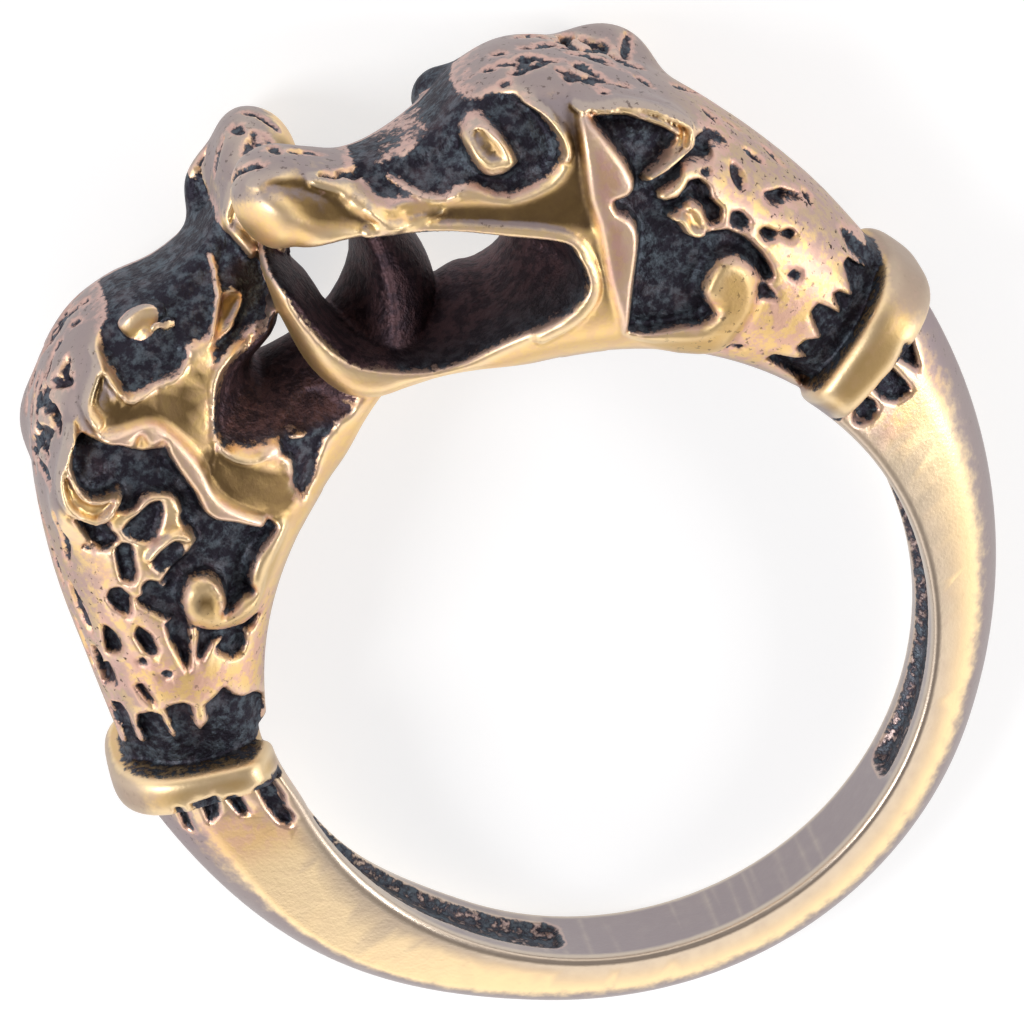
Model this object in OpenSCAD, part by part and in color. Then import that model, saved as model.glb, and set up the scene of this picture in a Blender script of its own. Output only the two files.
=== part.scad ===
// Open ring cast in one piece: a plain band that ends in two wolf heads.
// The heads meet at the top, where their muzzles cross side by side.
// The finger's axis is the bore's axis. Places on the ring are given by an
// angle from the top of the ring, a radius from the finger's axis and a
// height along it. Both heads are one module, turned half a turn about the
// line through the top of the ring.

/* [Finger] */
// Inside diameter of the ring
bore_d = 20; // [19:0.1:21]
// Width of the round land in the bore
land_w = 3; // [2.6:0.1:3.1]

/* [Casting] */
// Overall width of the ring across the heads, which the casting is brought to
ring_w = 28.8; // [28.4:0.1:29.4]
// Angle that the ring leans at when it lies on its side, on heads and band
rest_tilt = 6.4; // [6:0.1:8]
// Roll that the ring has when it lies on its side
rest_roll = 0.5; // [0:0.1:1.5]

/* [Band] */
// Width of the band at the finger, opposite the heads
band_w = 3.3; // [3:0.1:3.8]
// Thickness of the band opposite the heads
band_t = 2.05; // [1.8:0.05:2.3]
// Thickness of the band where it meets the collars
band_root_t = 4.6; // [4.2:0.05:4.8]
// Width of the band where it meets the collars
band_root_w = 5; // [4.6:0.1:5.2]
// Angle that the band takes to slim down past each collar
band_taper_a = 62; // [50:1:70]
// Angle between the top of the ring and the middle of each collar
collar_a = 71.5; // [70:0.5:73]
// Length of each collar along the band
collar_l = 1.9; // [1.6:0.1:2.2]
// Height that each collar stands proud of the neck's crest
collar_h = 0.85; // [0.6:0.05:1]
// Thickness of the neck where it meets its collar
neck_t = 4.5; // [4.3:0.05:4.7]
// Width of the neck where it meets its collar
neck_w = 5.2; // [5:0.1:5.4]

/* [Heads] */
// Depth of the recess behind each cheek
cheek_step = 0.7; // [0.4:0.05:0.8]
// Depth of the eye sockets
socket_depth = 0.7; // [0.4:0.05:0.9]
// Wire size of the ears' rims
ear_wire = 0.75; // [0.6:0.05:0.9]
// Wire size of the brows round the eyes
brow_wire = 0.5; // [0.4:0.05:0.7]
// Wire size of the curls behind the jaws
curl_wire = 0.95; // [0.8:0.05:1.1]

/* [Hidden] */
bore_r = bore_d / 2;
// Radius that the cast sections start from, just outside the land
cast_r = bore_r + 0.25;
// Depth that the land reaches into the casting
land_root = 0.35;
// Widening of the land from its face to its root, each side
land_ease = 0.08;
// Share of a collar's height that it stands proud of the neck's sides
collar_side = 0.45;
// Angle each side of the top where the land is left out, under the jaws
land_gap_a = 9;
gold = [0.80, 0.62, 0.30];
// Number of corners round a section of a head
SIDES = 20;
// Number of corners round a wire
WIRE_SIDES = 8;
// Further than a head reaches from the ring's middle plane
beyond = 8;

// Columns of the section tables
A = 0;
R_IN = 1;
R_OUT = 2;
Z_FAR = 3;
Z_NEAR = 4;
SQUARE = 5;

// Neck and skull: angle, inner and outer radius, far and near side, squareness
SKULL = [
    [collar_a + 3, cast_r, bore_r + neck_t, -neck_w / 2, neck_w / 2, 3.2],
    [66, cast_r, 14.9, -2.85, 2.85, 3.0],
    [56, cast_r, 15.9, -3.4, 3.4, 2.8],
    [46, cast_r, 17.0, -3.7, 3.75, 2.8],
    [37, cast_r, 18.1, -4.0, 4.05, 3.2],
    [30, cast_r, 18.9, -3.9, 4.15, 3.8],
    [24, cast_r, 19.3, -3.5, 4.1, 4.0],
];

// Muzzle, in the same columns. It starts inside the skull.
MUZZLE = [
    [28, 13.3, 18.8, -3.3, 3.9, 3.8],
    [22, 13.5, 19.2, -3.0, 4.0, 4.0],
    [16, 14.4, 18.6, -2.1, 3.9, 3.6],
    [10, 15.2, 18.1, -1.1, 3.8, 2.8],
    [6, 16.0, 18.5, -0.6, 3.9, 2.6],
    [2, 16.6, 19.6, -0.3, 4.1, 2.5],
    [-1, 16.9, 20.1, -0.1, 4.1, 2.4],
    [-3.2, 17.4, 20.0, 0.5, 3.7, 2.3],
    [-4.4, 18.0, 19.4, 1.2, 3.1, 2.2],
];

// Whole head from its neck to its nose, in the same columns
HEAD = concat(SKULL, [for (i = [1:len(MUZZLE) - 1]) MUZZLE[i]]);

// Lower jaw, in the same columns. Its front rises to meet the muzzle.
JAW = [
    [28, cast_r, 13.8, -3.1, 3.8, 3.4],
    [21, cast_r, 13.6, -3.1, 3.8, 3.3],
    [14, cast_r, 14.2, -2.6, 3.55, 3.0],
    [7, cast_r, 15.6, -2.1, 3.45, 2.8],
    [0, 11.1, 17.2, -1.6, 3.35, 2.8],
    [-4, 11.4, 17.5, -1.1, 3.3, 2.8],
    [-7, 12.0, 16.6, -0.7, 3.1, 2.6],
    [-8.8, 12.8, 14.6, -0.1, 2.7, 2.4],
];

// Outline of the open mouth, seen along the finger's axis
MOUTH = [
    [-1.3, 17.4], [-0.5, 17.05], [1.8, 15.9], [3.6, 14.75], [5.0, 13.6],
    [5.8, 12.6], [5.95, 11.8], [5.5, 11.25], [4.2, 11.3], [2.2, 11.65],
    [0.2, 12.25], [-0.75, 13.1], [-1.2, 14.5], [-1.45, 16.2],
];

// Outline of the sunk place behind the cheek, from its top round to the curl
CHEEK_RECESS = [
    [9.1, 13.9], [8.3, 12.9], [8.0, 12.1], [7.4, 11.3], [6.5, 9.5], [8.0, 8.5],
    [9.0, 8.7], [9.2, 9.9], [10.0, 10.6], [10.6, 12.2], [10.4, 13.1],
];

// Hollow of the laid back ear
EAR_HOLLOW = [[8.8, 16.0], [10.0, 15.4], [10.7, 14.4], [9.2, 13.4], [9.0, 14.4]];

// Middle of the eye, its turn about the finger's axis and its three radii
EYE = [5.8, 16.7];
eye_turn = -18;
EYE_R = [0.5, 0.85, 0.65];

// Ovals that sink the eye's socket: place, turn, long and short radius, share of
// the socket's depth
PLACE_X = 0;
PLACE_Y = 1;
TURN = 2;
LONG_R = 3;
SHORT_R = 4;
DEPTH = 5;
SOCKET = [
    [5.7, 16.7, 40, 1.9, 1.5, 1],
    [3.9, 17.5, 30, 2.0, 0.8, 0.8],
];

// Outline of the band's section from the bore to the crest, as shares of its
// thickness and of half its width
THICK = 0;
WIDE = 1;
BAND_SECTION = [[0, 1], [0.55, 0.88], [0.83, 0.62], [0.96, 0.33], [1, 0]];

// Middle lines of the ear's rim, the brow over the eye and the curl behind the jaw
EAR = [[8.5, 16.6], [9.5, 16.2], [10.6, 15.2], [11.1, 14.3], [10.2, 13.7], [9.3, 13.1]];
BROW = [[4.9, 18.4], [5.8, 18.3], [6.8, 17.7], [7.5, 16.8], [7.7, 15.8], [7.2, 14.9]];
CURL = [[6.5, 9.2], [7.6, 8.2], [8.8, 7.8], [9.8, 8.3], [10.1, 9.3], [9.5, 9.8]];

// Place at an angle from the top, a radius and a height
function at(a, r, z) = [r * sin(a), r * cos(a), z];

// Cosine or sine, swelled towards a square with rounded corners
function swell(v, squareness) = sign(v) * pow(abs(v), 2 / squareness);

// Value of a smooth curve through four values, between the middle two
function smooth(v, t) = v[1] + t / 2 * (v[2] - v[0]
    + t * (2 * v[0] - 5 * v[1] + 4 * v[2] - v[3]
    + t * (3 * (v[1] - v[2]) + v[3] - v[0])));

// Row of a table, with the first and last repeated past its ends
function row(table, i) = table[max(0, min(len(table) - 1, i))];

// Row between rows i and i + 1 of a table
function between(table, i, t) = [for (c = [0:len(table[0]) - 1])
    smooth([for (k = [-1:2]) row(table, i + k)[c]], t)];

// Table with steps rows for each row that it had
function fine(table, steps) = concat([for (i = [0:len(table) - 2])
    for (s = [0:steps - 1]) between(table, i, s / steps)], [table[len(table) - 1]]);

// One closed section of a casting
function section(v) = let (mid_r = (v[R_IN] + v[R_OUT]) / 2, half_r = (v[R_OUT] - v[R_IN]) / 2,
        mid_z = (v[Z_FAR] + v[Z_NEAR]) / 2, half_z = (v[Z_NEAR] - v[Z_FAR]) / 2)
    [for (i = [0:SIDES - 1]) let (turn = 360 * (i + 0.5) / SIDES)
        at(v[A], mid_r + half_r * swell(cos(turn), v[SQUARE]),
            mid_z + half_z * swell(sin(turn), v[SQUARE]))];

// Index of the head's row that an angle comes just after
function row_at(a, i = 0) = i > len(HEAD) - 3 || a > HEAD[i + 1][A] ? i : row_at(a, i + 1);

// Section of the head at an angle
function head_row(a) = let (i = row_at(a)) between(HEAD, i,
    max(0, min(1, (HEAD[i][A] - a) / (HEAD[i][A] - HEAD[i + 1][A]))));

// Height of the head's near or far side over a place seen along the axis
function side_z(p, column) = let (v = head_row(atan2(p[0], p[1])), r = norm([p[0], p[1]]),
        half_r = (v[R_OUT] - v[R_IN]) / 2, mid_z = (v[Z_NEAR] + v[Z_FAR]) / 2,
        u = min(0.96, abs(r - v[R_IN] - half_r) / half_r))
    mid_z + (v[column] - mid_z) * pow(1 - pow(u, v[SQUARE]), 1 / v[SQUARE]);

// Solid through a list of closed sections with the same number of points
module loft(sections) {
    n = len(sections[0]);
    m = len(sections);
    polyhedron([for (s = sections) each s], concat(
        [[for (i = [n - 1:-1:0]) i]],
        [for (k = [0:m - 2]) for (i = [0:n - 1]) let (j = (i + 1) % n) each [
            [k * n + i, (k + 1) * n + j, (k + 1) * n + i],
            [k * n + i, k * n + j, (k + 1) * n + j]]],
        [[for (i = [0:n - 1]) (m - 1) * n + i]]));
}

// Places along the side of the head for an outline seen along the axis
function on_side(outline, column, lift) = [for (p = outline)
    [p[0], p[1], side_z(p, column) + (column == Z_NEAR ? lift : -lift)]];

// Round wire through a list of places, thinner at its ends
module wire(corners, d) {
    end_share = 0.45;
    places = fine(corners, 2);
    last = len(places) - 1;
    loft([for (k = [0:last]) let (
            from = places[max(0, k - 1)], to = places[min(last, k + 1)],
            along = (to - from) / norm(to - from),
            up = cross(along, [0, 0, 1]) / norm(cross(along, [0, 0, 1])),
            out = cross(up, along), r = d / 2 * (k == 0 || k == last ? end_share : 1))
        [for (i = [0:WIRE_SIDES - 1]) let (turn = 360 * i / WIRE_SIDES)
            places[k] + r * (cos(turn) * up + sin(turn) * out)]]);
}

// Band from collar to collar round the back of the finger
module band() {
    steps = 40;
    first = collar_a - 1;
    loft([for (k = [0:steps]) let (
            a = first + (360 - 2 * first) * k / steps,
            near_head = pow(1 - min(1, (min(a, 360 - a) - first) / band_taper_a), 2),
            t = band_t + (band_root_t - band_t) * near_head,
            half_w = (band_w + (band_root_w - band_w) * near_head) / 2,
            crest = len(BAND_SECTION) - 1)
        [for (i = [-crest:crest]) let (p = BAND_SECTION[crest - abs(i)])
            at(a, max(cast_r, bore_r + p[THICK] * t), -sign(i) * p[WIDE] * half_w)]]);
}

// True round land that the finger bears on, with eased edges
module land() {
    rotate([0, 0, 90 + land_gap_a]) rotate_extrude(angle = 360 - 2 * land_gap_a) polygon([
        [bore_r, -land_w / 2], [cast_r + land_root, -land_w / 2 - land_ease],
        [cast_r + land_root, land_w / 2 + land_ease], [bore_r, land_w / 2]]);
}

// Collar where the band meets the neck
module collar() {
    steps = 4;
    squareness = 3.6;
    half_a = collar_l / 2 / (bore_r + neck_t / 2) * 180 / PI;
    loft([for (k = [0:steps]) let (
            turn = 180 * k / steps,
            rise = collar_h * sin(turn),
            half_w = neck_w / 2 + collar_side * rise)
        section([collar_a + half_a * cos(turn), cast_r, bore_r + neck_t + rise, -half_w, half_w, squareness])]);
}

// Eye, as a bead seated in its socket
module eye(column) {
    side = column == Z_NEAR ? 1 : -1;
    translate([EYE[0], EYE[1], side_z(EYE, column) - side * socket_depth]) rotate(eye_turn)
        scale(EYE_R) sphere(r = 1, $fn = 10);
}

// Socket that tapers towards the muzzle
module socket(column) {
    for (v = SOCKET)
        translate([v[PLACE_X], v[PLACE_Y], side_z([v[PLACE_X], v[PLACE_Y]], column)]) rotate(v[TURN])
            scale([v[LONG_R], v[SHORT_R], socket_depth * v[DEPTH]]) sphere(r = 1, $fn = 16);
}

// Sunk place with upright walls, of a depth below the side of the head
module sunk(outline, depth, column) {
    side = column == Z_NEAR ? 1 : -1;
    middle = [for (c = [0, 1]) let (v = [for (p = outline) p[c]]) (min(v) + max(v)) / 2];
    translate([0, 0, side_z(middle, column) - side * depth + (side > 0 ? 0 : -beyond)])
        linear_extrude(beyond) polygon(outline);
}

// One head with its neck and collar
module head() {
    difference() {
        union() {
            loft([for (v = fine(SKULL, 2)) section(v)]);
            loft([for (v = fine(MUZZLE, 2)) section(v)]);
            loft([for (v = fine(JAW, 2)) section(v)]);
        }
        mouth_cut();
        for (column = [Z_NEAR, Z_FAR]) {
            socket(column);
            sunk(CHEEK_RECESS, cheek_step, column);
            sunk(EAR_HOLLOW, cheek_step, column);
        }
    }
    collar();
    for (column = [Z_NEAR, Z_FAR]) {
        eye(column);
        wire(on_side(EAR, column, 0), ear_wire);
        wire(on_side(BROW, column, 0), brow_wire);
        wire(on_side(CURL, column, -curl_wire / 2), curl_wire);
    }
}

// Gap between the jaws, right through the head
module mouth_cut() {
    translate([0, 0, -beyond]) linear_extrude(2 * beyond) polygon(MOUTH);
}

// Whole casting, leaning as it lies on its side
module cast_ring() {
    color(gold) rotate([rest_tilt, rest_roll, 0]) {
        resize([ring_w, 0, 0], auto = true) {
            band();
            head();
            rotate([0, 180, 0]) head();
        }
        land();
    }
}

cast_ring();
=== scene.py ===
# Wolf head ring: a ring cast in one piece, whose plain band ends in two wolf
# heads with open mouths, laid on its side on a pale floor.
import math

import bpy
import numpy as np
from mathutils import Matrix, Vector


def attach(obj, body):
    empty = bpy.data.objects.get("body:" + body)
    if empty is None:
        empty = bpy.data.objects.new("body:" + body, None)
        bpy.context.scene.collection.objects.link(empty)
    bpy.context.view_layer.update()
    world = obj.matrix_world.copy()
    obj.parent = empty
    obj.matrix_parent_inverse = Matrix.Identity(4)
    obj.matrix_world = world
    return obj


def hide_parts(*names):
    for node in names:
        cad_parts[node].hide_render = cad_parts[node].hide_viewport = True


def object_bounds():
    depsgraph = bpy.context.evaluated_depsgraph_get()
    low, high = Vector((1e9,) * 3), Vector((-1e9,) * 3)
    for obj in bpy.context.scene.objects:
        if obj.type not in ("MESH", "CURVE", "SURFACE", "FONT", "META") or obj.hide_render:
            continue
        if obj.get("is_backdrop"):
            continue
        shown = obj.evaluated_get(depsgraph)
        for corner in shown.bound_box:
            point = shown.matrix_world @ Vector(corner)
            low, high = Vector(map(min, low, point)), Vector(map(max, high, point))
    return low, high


bl_info = {
    "name": "Wolf head ring",
    "version": (1, 0, 0),
    "blender": (4, 5, 0),
    "location": "3D View > Sidebar > Wolf ring",
    "description": "Casts and patinates a ring that ends in two wolf heads",
    "category": "Add Mesh",
}

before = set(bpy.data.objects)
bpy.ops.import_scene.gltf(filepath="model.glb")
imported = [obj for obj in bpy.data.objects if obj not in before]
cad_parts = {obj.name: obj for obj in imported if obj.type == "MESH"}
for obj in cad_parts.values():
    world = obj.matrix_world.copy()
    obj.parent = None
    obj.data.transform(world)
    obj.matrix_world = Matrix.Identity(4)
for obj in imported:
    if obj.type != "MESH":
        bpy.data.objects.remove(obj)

MM = 0.001

# Angles that the ring lies at, about the line across it and the line up it
REST_TILT = math.radians(6.4)
REST_ROLL = math.radians(0.5)
REST = Matrix.Rotation(REST_ROLL, 3, "Y") @ Matrix.Rotation(REST_TILT, 3, "X")


# Tables of the wax model. Angles are in degrees from the top of the ring, and
# radii, heights and places are in millimetres, in the ring's own frame: X
# towards the right head, Y towards the top, Z along the finger. A head's
# tables are those of the right head; the left head is turned half a turn.

# Crests of the neck, skull and nose of the right and the left head: angle, radius
CREST = [
    [
        (82, 13.8), (75, 14.35), (66, 14.8), (56, 15.75), (46, 16.85), (37, 18.0), (30, 18.85),
        (24, 19.25), (19, 18.95), (14.5, 18.25), (10, 18.05), (6.5, 18.25), (4, 18.85), (1.5, 19.55),
        (-1, 19.8), (-3, 19.55), (-4.3, 18.9), (-4.6, 18.1), (-3.8, 17.45), (-2.2, 17.1),
    ],
    [
        (82, 14.05), (75, 14.6), (66, 14.85), (56, 15.6), (46, 16.9), (37, 18.25), (30, 19.15),
        (24, 19.3), (19, 18.85), (14.5, 18.1), (10.1, 17.9), (7.1, 18.2), (5.1, 18.85), (3, 19.45),
        (0.9, 19.6), (-0.9, 19.35), (-2.2, 18.8), (-2.5, 18.1), (-1.8, 17.4), (-0.6, 17.1),
    ],
]
# The same line's way back under the muzzle and through the open mouth
CREST_BACK = [
    (0, 16.2), (8, 15.0), (16, 13.9), (22, 13.0), (23.5, 11.0), (22, 9.0), (50, 8.6), (82, 8.6),
]
# Rounding of the crest: angle, radius of the rounding
CREST_ROUND = [
    (-8, 1.6), (0, 1.6), (6, 1.3), (14, 1.5), (20, 2.0), (26, 2.6), (32, 3.0), (40, 3.3), (52, 3.4),
    (66, 3.1), (82, 2.8),
]

# Sides of the neck, skull and muzzle: angle, then the far and the near side of
# the right head, then of the left head, whose far side is the one in view
SKULL_SIDES = [
    (-6, 0.9, 3.3, 0.9, 3.7), (-4, 0.5, 3.7, 0.5, 4.15), (-1, -0.1, 4.05, -0.1, 4.6),
    (3, -0.4, 4.05, -0.4, 4.65), (7, -0.8, 3.8, -0.8, 4.3), (11, -1.4, 3.7, -1.4, 4.0),
    (16, -2.3, 3.8, -2.2, 3.85), (20, -2.9, 3.95, -2.6, 3.95), (25, -3.55, 4.1, -3.05, 4.1),
    (31, -3.95, 4.15, -3.35, 4.15), (38, -4.0, 4.05, -3.45, 4.05), (46, -3.75, 3.75, -3.4, 3.75),
    (56, -3.4, 3.4, -3.25, 3.4), (66, -2.9, 2.9, -2.9, 2.9), (75, -2.65, 2.65, -2.65, 2.65),
    (82, -2.6, 2.6, -2.6, 2.6),
]

# Lower jaw from its tip down its front and along its underside: angle, radius
JAW = [
    (-3.6, 17.35), (-5.4, 17.0), (-6.9, 16.2), (-8.3, 15.0), (-9.6, 13.6), (-9.1, 12.4), (-6, 11.6),
    (-1, 11.2), (4, 10.9), (9, 10.5), (14, 10.0), (20, 9.4),
]
JAW_BACK = [(30, 9.0), (31, 13.4), (26, 14.2), (18, 14.9), (8, 15.6), (0, 16.4)]
# Sides of the jaw, as for the skull
JAW_SIDES = [
    (-11, 0.1, 2.7, 0.1, 2.7), (-8, -0.4, 3.0, -0.6, 3.0), (-4, -1.1, 3.25, -1.6, 3.25),
    (0, -1.7, 3.35, -2.2, 3.35), (5, -2.4, 3.5, -2.4, 3.5), (14, -3.0, 3.72, -2.5, 3.72),
    (20, -3.25, 4.02, -2.75, 4.0), (25, -3.6, 4.14, -3.1, 4.12), (28, -3.7, 4.1, -3.15, 4.08),
    (32, -3.6, 3.85, -3.0, 3.85),
]

# Outlines of the open mouths at their lips, of the right and the left head: x, y
MOUTH = [
    [
        (-1.28, 16.98), (-0.35, 16.9), (0.69, 16.68), (2, 15.97), (3.47, 15.07), (4.82, 13.91),
        (5.75, 13.19), (6.01, 12.8), (5.92, 12), (5.65, 11.69), (4.87, 11.5), (3.36, 11.56),
        (1.83, 11.62), (1.12, 11.79), (0.34, 12.24), (-0.19, 12.69), (-0.74, 13.11), (-1.02, 13.69),
        (-1.15, 14.38), (-1.24, 15.09), (-1.28, 16.02),
    ],
    [
        (-1.28, 17.1), (-0.79, 17.0), (0.22, 16.6), (1.6, 15.75), (2.4, 15.15), (3.1, 14.98),
        (3.8, 14.9), (4.4, 14.7), (4.95, 14.2), (5.3, 13.65), (5.35, 13.2), (5.05, 12.9), (4.75, 12.65),
        (4.3, 12.45), (3.75, 12.1), (3.1, 11.8), (2.19, 11.5), (0.9, 11.9), (0.13, 12.35),
        (-0.75, 13.25), (-1.2, 14.55), (-1.38, 16.01),
    ],
]
# Outlines of the holes that go on through the floors of the mouths of the right and the left head
THROAT = [
    [
        (-1.1, 16.9), (-0.86, 15.1), (-0.83, 13.74), (-0.07, 12.6), (0.7, 12.35), (1.93, 12.5),
        (2.8, 12.45), (3.35, 12.15), (4.07, 12.2), (4.9, 12.9), (4.4, 14.0), (3.3, 14.85), (1.87, 15.7),
        (0.2, 16.6),
    ],
    [
        (-1.1, 16.9), (-0.8, 15.6), (-0.3, 14.5), (0.9, 13.7), (2.3, 13.4), (2.94, 13.38), (3.6, 13.42),
        (3.78, 13.62), (3.69, 13.75), (3.1, 13.95), (2.46, 14.25), (1.9, 15.0), (1.0, 15.9),
        (0.2, 16.5),
    ],
]
# Where along the finger those holes are, and how far from there the mouths have opened fully
THROAT_Z, THROAT_REACH = (-1.0, 1.0), (3.6, 4.2)

# Bumps of the ears: angle, radius, place along the finger, half length, half height, half width
EAR_BUMP = (33.3, 17.35, 2.75, 1.5, 1.35, 1.15)
# How much lower the ears in view are, and how much narrower, as a share of that
EAR_LOW, EAR_NARROW = 0.55, 0.6
# Beads of the eye on each head's far side: place, half sizes
EYE_BEADS = [
    ((5.62, 16.78, -1.45), (0.95, 0.88, 0.85)),
    ((5.4, 17.0, -2.0), (0.45, 0.35, 0.4)),
    ((5.1, 16.8, -1.95), (0.35, 0.28, 0.35)),
    ((4.85, 16.65, -1.85), (0.3, 0.25, 0.3)),
]
# Rubbed places on the left head's eye, where the blacking is left off; they also stand for the ball's
# painted highlight on its upper left
EYE_SPOTS = [
    ((5.65, 17.5, -1.8), (0.72, 0.66, 0.72)),
    ((5.35, 17.0, -2.3), (0.38, 0.26, 0.5)),
    ((5.0, 16.8, -2.25), (0.36, 0.26, 0.5)),
]
# Brow of the right head's far side, which stands up behind its muzzle: place, half sizes
FAR_BROW = (5.2, 16.8, -1.75), (0.95, 0.95, 0.9)
# Wing of the left head's nostril: place, half sizes
NOSE_WING = (1.75, 17.6, 3.4), (1.25, 1.2, 1.15)
# Rounding of the lips on the skull's and the jaw's side of the mouth, and of the jaw's own edge
SKULL_LIP, JAW_LIP, JAW_ROUND = 0.5, 0.45, 0.85
# How square the section of a head is: 2 is an ellipse
FULLNESS = 2.5
# Fillets where one form meets the next
JAW_FILLET, EAR_FILLET, WING_FILLET = 0.2, 0.9, 0.8
EYE_FILLET, BROW_FILLET, COLLAR_FILLET = 0.2, 0.25, 0.12

# Of a head's hidden side and the side in view: how squarely a place has to face its side before it
# takes its chasing, over how much more that grows to the whole, and where the blacking starts, from
# the middle of the head
FACING_FROM, FACING_EASE, BLACK_FROM = (0.4, 0.15), 0.35, (2.0, -2.0)
# Most that the chasing stands up on the hidden side, so that the ring lies flat
HIDDEN_RISE = 0.04
# How far blacking reaches over the lips from the mouth
LIP_BLACK = 0.22
# How far from its middle a raised line stays bare, and a cut line is blacked, as shares of its width
LINE_BARE, LINE_BLACK = 0.42, 0.25
# Deepest pit, how much deeper than its half width a pit is, and the rounding of its ends
PIT_DEEPEST, PIT_EXTRA, PIT_ROUND = 0.24, 0.05, 2.4
# Softness of a pit's sides
PIT_SOFT = 0.06

# Blackened hollows of a head's near side: depth, slope of the edge, outline as x, y
NEAR_HOLLOWS = [
    (0.5, 0.5, [(2.11, 18.08), (2.12, 17.8), (2.29, 17.36), (2.51, 17.11), (2.64, 17.01), (3.21, 16.76),
        (3.59, 16.46), (4.06, 16.19), (4.34, 16.29), (4.66, 16.23), (4.96, 15.96), (5.23, 15.54),
        (5.56, 15.26), (6.16, 15.14), (6.74, 15.11), (7.16, 15.25), (7.41, 15.44), (7.56, 15.77),
        (7.62, 16.23), (7.53, 16.74), (7.39, 17.08), (7.16, 17.35), (6.78, 17.59), (6.46, 17.68),
        (6.04, 17.76), (5.74, 17.9), (5.5, 18.3), (4.5, 18.5), (3.6, 18.4), (2.9, 18.05)]),
    (0.45, 0.22, [(8.7, 15.84), (9.13, 15.48), (9.62, 15.11), (10.02, 14.62), (10.33, 14.14),
        (10.46, 13.76), (10.16, 13.66), (9.67, 13.56), (9.12, 13.51), (9.12, 13.34), (9.86, 13.21),
        (10.57, 13.21), (11.08, 13.14), (11.39, 12.76), (11.6, 12.2), (11.46, 12.24), (11.29, 12.56),
        (11.1, 12.59), (10.93, 12.41), (10.69, 12.55), (10.47, 12.79), (10.14, 12.96), (9.9, 12.79),
        (9.56, 12.79), (9.19, 12.84), (9.04, 12.71), (9.19, 12.47), (9.56, 12.29), (9.91, 12.36),
        (10.07, 12.44), (10.33, 12.29), (10.44, 11.91), (10.31, 11.66), (10.4, 11.14), (10.2, 10.89),
        (9.95, 10.96), (9.84, 11.19), (9.97, 11.69), (9.88, 12.04), (9.68, 12.04), (9.32, 12.04),
        (9.14, 12.11), (9.01, 12.01), (9.16, 11.76), (9.11, 11.41), (9.26, 11.06), (9.51, 10.94),
        (9.84, 10.79), (10.25, 10.51), (10.53, 9.96), (10.66, 9.34), (10.67, 8.79), (10.56, 8.41),
        (10.31, 8.49), (10.29, 8.89), (10.24, 9.39), (10.04, 9.84), (9.68, 9.99), (9.29, 9.89),
        (8.91, 9.64), (8.64, 9.47), (8.54, 9.04), (8.64, 8.51), (8.11, 8.56), (7.58, 8.84),
        (7.02, 9.09), (6.52, 9.34), (6.22, 9.69), (6.64, 10.36), (7.21, 11.04), (7.79, 11.79),
        (8.14, 12.41), (8.16, 12.81), (7.86, 13.14), (8.01, 13.41), (8.41, 13.31), (8.69, 13.39),
        (8.84, 13.81), (8.92, 14.24), (8.86, 14.83), (8.8, 15.24), (8.72, 15.62)]),
    (0.4, 0.2, [(13.38, 6.74), (13.64, 5.95), (13.88, 5.1), (13.5, 5.1), (13.36, 5.1), (12.8, 5.0),
        (11.68, 4.6), (10.72, 4.1), (9.87, 3.7), (9.4, 3.6), (9.57, 4.74), (9.36, 5.3), (9.11, 6.06),
        (9.32, 6.09), (9.77, 5.58), (10.09, 5.39), (10.02, 5.91), (10.34, 5.99), (10.79, 5.71),
        (10.84, 6.26), (10.94, 6.69), (11.24, 6.76), (11.46, 6.36), (11.65, 5.94), (11.78, 6.66),
        (11.94, 6.59), (12.2, 6.09), (12.32, 6.49), (12.51, 7.09), (12.69, 7.09), (12.82, 6.66),
        (13.02, 6.24), (12.87, 7.01), (12.87, 7.51), (13, 7.81), (13.13, 7.31), (13.27, 6.66)]),
    (0.3, 0.2, [(11.66, 10.51), (12.13, 10.13), (12.49, 9.52), (12.43, 9.41), (12.12, 9.87),
        (11.82, 9.91), (11.65, 10.19)]),
    (0.3, 0.2, [(10.61, 10.86), (10.81, 10.71), (10.9, 10.26), (10.76, 10.19), (10.51, 10.34),
        (10.41, 10.64)]),
    (0.3, 0.2, [(10.95, 9.84), (11.16, 9.81), (11.41, 9.38), (11.73, 9.21), (11.81, 8.96),
        (11.62, 8.89), (11.39, 9.34), (11, 9.46)]),
    (0.25, 0.2, [(10.11, 8.64), (10.31, 8.39), (10.35, 7.78), (10.09, 8.01), (9.88, 8.24)]),
]
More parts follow.
